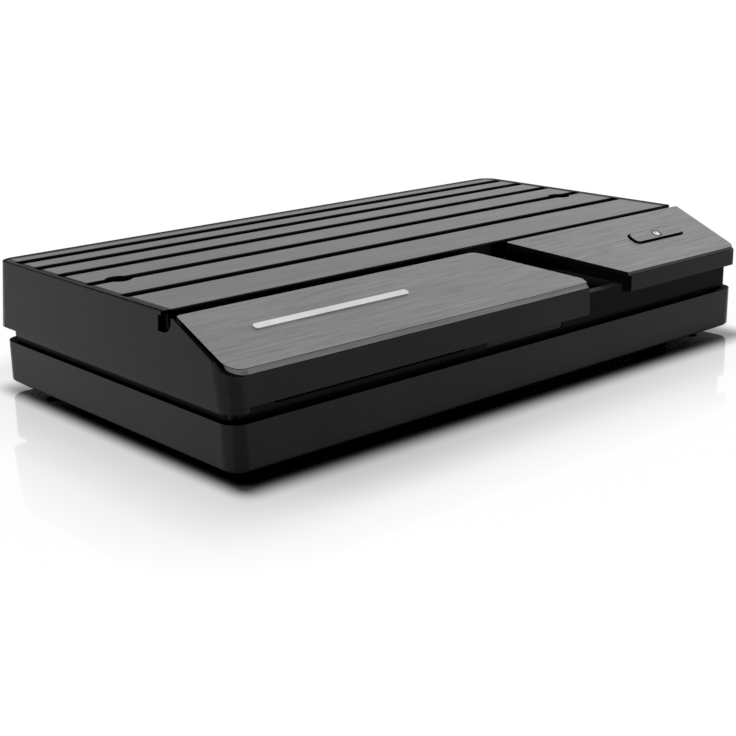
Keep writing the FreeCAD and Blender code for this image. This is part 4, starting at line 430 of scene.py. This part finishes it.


# --- brushed metal of the plates and the button, with light and shade painted by the way each face looks ---
BRUSH_TONE = 0.29
RIBBED_TONE = 0.26
BRUSH_GRAZING = (0.65, 0.65, 0.65, 1)     # tint of its gloss at grazing angles
BRUSH_SHADE = 0.012                # painted shade: tone of the faces that look neither the lit way nor ahead, and of the ribbed plate's rim, as a share
BRUSH_LEFT_RIGHT_TONES = (0.85, 1.06)        # tone at the left and at the right, as shares: the metal is darker towards the left
BRUSH_LEFT_RIGHT_SPAN = (-60 * MM, 90 * MM)
# broad streaks and fine ones: waves to the metre along them and across them, share, and detail of the noise
BRUSH_LAYERS = ((20.0, 1500.0, 0.45, 5.0), (70.0, 3200.0, 0.55, 3.0))
BRUSH_NOISE_ROUGH = 0.7
BRUSH_CONTRAST = (0.68, 1.32)
BRUSH_SPAN = (0.1, 0.9)           # the streaks' values over which tone and roughness change
BRUSH_ROUGHNESS = (0.34, 0.46)
BRUSH_BUMP = 0.10
BRUSH_DEPTH = 0.03 * MM
# painted light: faces that look ahead within this range get the share front_edge of the tone
FRONT_EDGE_RANGE = (0.84, 0.92)
# painted shade along the ribbed plate's outer edge at the sides and the back: widths and blur
RIM_SIDE = 2.5 * MM
RIM_BACK = 2.05 * MM
RIM_BLUR = 0.05 * MM


def brush_streaks(tree, across):
    """Fine streaks along x over broader ones; across below one makes them all broader."""
    layers = []
    for waves_along, waves_over, share, detail in BRUSH_LAYERS:
        waves = (waves_along, waves_over * across, waves_over * across)
        layers.append(ranged(tree, noise(tree, waves, detail, BRUSH_NOISE_ROUGH), 0.0, share))
    return math_node(tree, "ADD", *layers)


def inside_rim(tree):
    """One on the ribbed plate, and nearly nought on its rim at the sides and the back, where shade is
    painted.
    """
    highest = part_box("ribbed_top_plate")[1]
    sideways = math_node(tree, "ABSOLUTE", place_along(tree, RIGHT))
    inside = []
    for place, edge in ((sideways, highest.x - RIM_SIDE), (place_along(tree, BACK), highest.y - RIM_BACK)):
        inside.append(ranged(tree, place, 1.0, BRUSH_SHADE, edge - RIM_BLUR, edge + RIM_BLUR))
    return math_node(tree, "MINIMUM", *inside)


def brushed(name, front_edge, level=BRUSH_TONE, lit_side=(-0.25, 0, 1), lit_range=(0.36, 0.86), across=1.0,
            shaded_rim=False):
    """Dark silver metal brushed along x.

    Faces that look the way of lit_side have its full tone, and those that look ahead the share front_edge,
    both as painted light.
    The others are black, as painted shade, and so is the ribbed plate's rim where shaded_rim is set.
    """
    material, tree, shader = new_material(name)
    streaks = brush_streaks(tree, across)
    face = two_tone(tree, streaks, *(shade((level,) * 3, share) for share in BRUSH_CONTRAST), *BRUSH_SPAN)
    ahead = ranged(tree, facing(tree, FRONT), 0.0, front_edge, *FRONT_EDGE_RANGE)
    lit = ranged(tree, facing(tree, lit_side), 0.0, 1.0, *lit_range)
    share = math_node(tree, "MAXIMUM", math_node(tree, "MAXIMUM", ahead, lit), BRUSH_SHADE)
    share = product(tree, share, ranged(tree, place_along(tree, RIGHT), *BRUSH_LEFT_RIGHT_TONES, *BRUSH_LEFT_RIGHT_SPAN))
    if shaded_rim:
        share = product(tree, share, inside_rim(tree))
    tree.links.new(scaled(tree, face, share), shader.inputs["Base Color"])
    shader.inputs["Metallic"].default_value = 1.0
    shader.inputs["Specular Tint"].default_value = BRUSH_GRAZING
    tree.links.new(ranged(tree, streaks, *BRUSH_ROUGHNESS, *BRUSH_SPAN), shader.inputs["Roughness"])
    bumped(tree, shader, streaks, BRUSH_BUMP, BRUSH_DEPTH)
    return material


# --- one material to each slot of the record, and two more ---
BLOCK_WALL_SIDE = (-0.61, -0.79, 0)   # the way that the right block's slanting wall looks, which gets painted shade

# pieces that get a material of their own: the right block a darker copy of the case plastic, as painted
# shade, and the ribbed plate brushed metal with broader streaks and painted shade on its rim and groove
# edges
OWN_MATERIALS = {"right_front_block": "block_plastic_shaded", "ribbed_top_plate": "ribbed_metal"}


def make_materials():
    return {
        # painted shade: faces that look up and the walls of the grooves lose their gloss and most of their
        # tone, and the front-left corner is darker
        "case_plastic": black_plastic("case_plastic", (0.017, 0.017, 0.0174), 0.24, 0.12, shaded_grooves=True),
        # painted shade: the right block is darker all over than the case, and darkest on its slanting wall
        "block_plastic_shaded": black_plastic("block_plastic_shaded", (0.0085, 0.0085, 0.0087), 0.24, 0.13,
                                       shaded_side=BLOCK_WALL_SIDE, shaded_range=(0.95, 0.98)),
        # painted shade under the lip: the fascia's faces that look ahead lose most of their tone and part of
        # their gloss
        "fascia_plastic": black_plastic("fascia_plastic", (0.017, 0.017, 0.0174), 0.26, 0.13,
                                        shaded_side=FRONT, shaded_metallic=0.6),
        "black_plastic": black_plastic("black_plastic", (0.002, 0.002, 0.0021), 0.5, 0.2),
        "panel_plastic": plastic("panel_plastic", (0.018, 0.018, 0.019), 0.5, 0.25),
        "foot_rubber": plastic("foot_rubber", (0.012, 0.012, 0.012), 0.8, 0.2, grain=1500.0, bump=0.3),
        # painted light on the plates' front edges, painted shade on their other edges
        "brushed_metal": brushed("brushed_metal", 0.18),
        # painted shade on the edges of the grooves and along the plate's rim at the sides and the back
        "ribbed_metal": brushed("ribbed_metal", 0.05, RIBBED_TONE, lit_side=UP, lit_range=(0.93, 0.99),
                                across=0.4, shaded_rim=True),
        "polished_metal": sheet_metal("polished_metal", (0.66, 0.66, 0.67), 0.14),
        "dark_window": plastic("dark_window", (0.0012, 0.0010, 0.0012), 0.12, 0.12, bump=0.02),
        # painted shade: only the button's top keeps the metal's tone, its sides and chamfers are black
        "button_plastic": brushed("button_metal_look", 0.05, lit_side=SLOPE_NORMAL, lit_range=(0.90, 0.98)),
        "light_pipe": plastic("light_pipe", (0.80, 0.82, 0.85), 0.25, 0.5, bump=0.03),
        "switch_metal": sheet_metal("switch_metal", (0.55, 0.55, 0.55), 0.35),
        "circuit_board": plastic("circuit_board", (0.012, 0.075, 0.030), 0.32, 0.5, grain=900.0),
        "zinc_steel": sheet_metal("zinc_steel", (0.55, 0.55, 0.53), 0.35),
        "black_steel": sheet_metal("black_steel", (0.035, 0.035, 0.036), 0.4, metal=0.8),
        "flex_film": plastic("flex_film", (0.70, 0.70, 0.67), 0.4, 0.4),
        "white_plastic": plastic("white_plastic", (0.74, 0.73, 0.68), 0.45, 0.4),
        "nickel": sheet_metal("nickel", (0.66, 0.63, 0.56), 0.24),
        "shutter_plastic": plastic("shutter_plastic", (0.022, 0.022, 0.024), 0.4, 0.3),
        "tin_steel": sheet_metal("tin_steel", (0.58, 0.58, 0.57), 0.3),
        "gold_contacts": sheet_metal("gold_contacts", (0.80, 0.58, 0.22), 0.25),
        "chip_plastic": plastic("chip_plastic", (0.018, 0.018, 0.019), 0.5, 0.4),
        "pad_rubber": plastic("pad_rubber", (0.35, 0.40, 0.45), 0.8, 0.2),
        "heatsink_aluminium": sheet_metal("heatsink_aluminium", (0.05, 0.05, 0.052), 0.45),
        "ferrite": plastic("ferrite", (0.07, 0.07, 0.07), 0.7, 0.3, grain=1200.0, bump=0.3),
        "capacitor_aluminium": sheet_metal("capacitor_aluminium", (0.70, 0.70, 0.70), 0.28),
        "reader_plastic": plastic("reader_plastic", (0.028, 0.028, 0.028), 0.5, 0.3),
    }


def dress_nodes(made):
    for row in frame["record"]["subparts"]:
        slots = nodes[row["node"]].data.materials
        material = made[OWN_MATERIALS.get(row["node"], row["material_slot"])]
        if not slots:
            slots.append(material)
        for i in range(len(slots)):
            slots[i] = material


# --- small rounded edges on the pieces that show: the bevels' widths ---
ROUNDED = {"upper_cover": 0.22 * MM, "base_tray": 0.28 * MM, "ribbed_top_plate": 0.30 * MM,
           "left_front_plate": 0.10 * MM, "right_front_block": 0.22 * MM, "right_front_plate": 0.12 * MM,
           "front_fascia": 0.12 * MM, "standby_button": 0.30 * MM, "trim_bar": 0.10 * MM,
           "rear_panel": 0.10 * MM}
WELD_REACH = 0.002 * MM
BEVEL_STEPS = 2
BEVEL_ANGLE = math.radians(32)    # sharper turns than this are rounded


def round_edges():
    for name, width in ROUNDED.items():
        weld = nodes[name].modifiers.new("weld", "WELD")
        weld.merge_threshold = WELD_REACH
        bevel = nodes[name].modifiers.new("bevel", "BEVEL")
        bevel.width = width
        bevel.segments = BEVEL_STEPS
        bevel.limit_method = "ANGLE"
        bevel.angle_limit = BEVEL_ANGLE
        bevel.use_clamp_overlap = True
        bevel.harden_normals = False


# --- added pieces, which ride on the CAD's bodies; places are from the left, the front and the table ---
SLOPE_START = (2.9 * MM, 29.85 * MM)  # y and z of the plates' front edge


def placed(x, y, z):
    """Place in the frame of a point that is given from the left, the front and the table."""
    return Vector((x - HALF_WIDTH, y - HALF_DEPTH, z))


def slope_point(u, v, w):
    """Place of a point on the front slope: along x, up the slope and out of it."""
    return placed(u, SLOPE_START[0] + v * math.cos(SLOPE) - w * math.sin(SLOPE),
                  SLOPE_START[1] + v * math.sin(SLOPE) + w * math.cos(SLOPE))


def swept(shape, sections):
    """Skin a row of closed sections that each have the same number of points, with flat ends."""
    rows = [[shape.verts.new(point) for point in section] for section in sections]
    count = len(rows[0])
    for near, away in zip(rows, rows[1:]):
        for i in range(count):
            shape.faces.new((near[i], near[(i + 1) % count], away[(i + 1) % count], away[i]))
    shape.faces.new(rows[0][::-1])
    shape.faces.new(rows[-1])


def new_piece(name, body, material, shape):
    """Make one object of a bmesh and let it ride on a body of the CAD."""
    bmesh.ops.recalc_face_normals(shape, faces=shape.faces)
    mesh = bpy.data.meshes.new(name)
    shape.to_mesh(mesh)
    shape.free()
    mesh.materials.append(material)
    piece = bpy.data.objects.new(name, mesh)
    bpy.context.scene.collection.objects.link(piece)
    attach(piece, body)


MARK_PLACE = (192.4 * MM, 14.65 * MM, 0.6 * MM)   # middle of the button's top, as a slope point
MARK_HEIGHT = 0.04 * MM
MARK_SET = 0.02 * MM              # depth by which the mark is let into the button
RING_INNER = 1.72 * MM
RING_OUTER = 2.0 * MM
RING_STEPS = 56
RING_OPENING = 0.55               # half of the ring's opening, in radians, on its upper side
BAR_WIDTH = 0.4 * MM
BAR_REACH = (0.1 * MM, 2.1 * MM)


def power_mark(material):
    """Ring that is open above, with a short bar in the opening, printed on the button round its light."""
    shape = bmesh.new()
    x, up, top = MARK_PLACE
    low = top - MARK_SET
    high = low + MARK_HEIGHT
    ring = []
    for i in range(RING_STEPS + 1):
        turn = math.pi / 2 + RING_OPENING + 2 * (math.pi - RING_OPENING) * i / RING_STEPS
        ring.append([slope_point(x + r * math.cos(turn), up + r * math.sin(turn), w) for r, w in
                     ((RING_INNER, low), (RING_OUTER, low), (RING_OUTER, high), (RING_INNER, high))])
    swept(shape, ring)
    half = BAR_WIDTH / 2
    corners = ((-half, low), (half, low), (half, high), (-half, high))
    swept(shape, [[slope_point(x + side, up + reach, w) for side, w in corners] for reach in BAR_REACH])
    new_piece("power_mark", "button", material, shape)


THREAD_PLACES = ((156 * MM, 18.1 * MM), (178 * MM, 18.1 * MM))   # x and z of the two barrels' axes
THREAD_START = 117.7 * MM         # y where the barrels grow thinner
THREAD_LENGTH = 4.7 * MM
THREAD_PITCH = 25.4 * MM / 32     # 32 turns to the inch
THREAD_ROOT = 4.46 * MM           # radii at the thread's foot and top
THREAD_CREST = 4.74 * MM
THREAD_ROOT_WIDTH = 0.9           # widths there, as shares of the pitch
THREAD_CREST_WIDTH = 0.15
THREAD_STEPS = 36                 # steps to a turn


def aerial_threads(material):
    """Screw threads on the free ends of the two aerial barrels."""
    shape = bmesh.new()
    root = THREAD_PITCH / 2 * THREAD_ROOT_WIDTH
    crest = THREAD_PITCH / 2 * THREAD_CREST_WIDTH
    profile = ((THREAD_ROOT, -root), (THREAD_CREST, -crest), (THREAD_CREST, crest), (THREAD_ROOT, root))
    steps = int((THREAD_LENGTH / THREAD_PITCH - 1) * THREAD_STEPS)
    for x, z in THREAD_PLACES:
        sections = []
        for i in range(steps + 1):
            turn = 2 * math.pi * i / THREAD_STEPS
            y = THREAD_START + THREAD_PITCH * (0.5 + i / THREAD_STEPS)
            sections.append([placed(x + r * math.cos(turn), y + along, z + r * math.sin(turn))
                             for r, along in profile])
        swept(shape, sections)
    new_piece("aerial_threads", "case", material, shape)


# --- main ---
make_camera()
make_room()
make_floor()
materials = make_materials()
dress_nodes(materials)
round_edges()
power_mark(materials["black_plastic"])
aerial_threads(materials["nickel"])
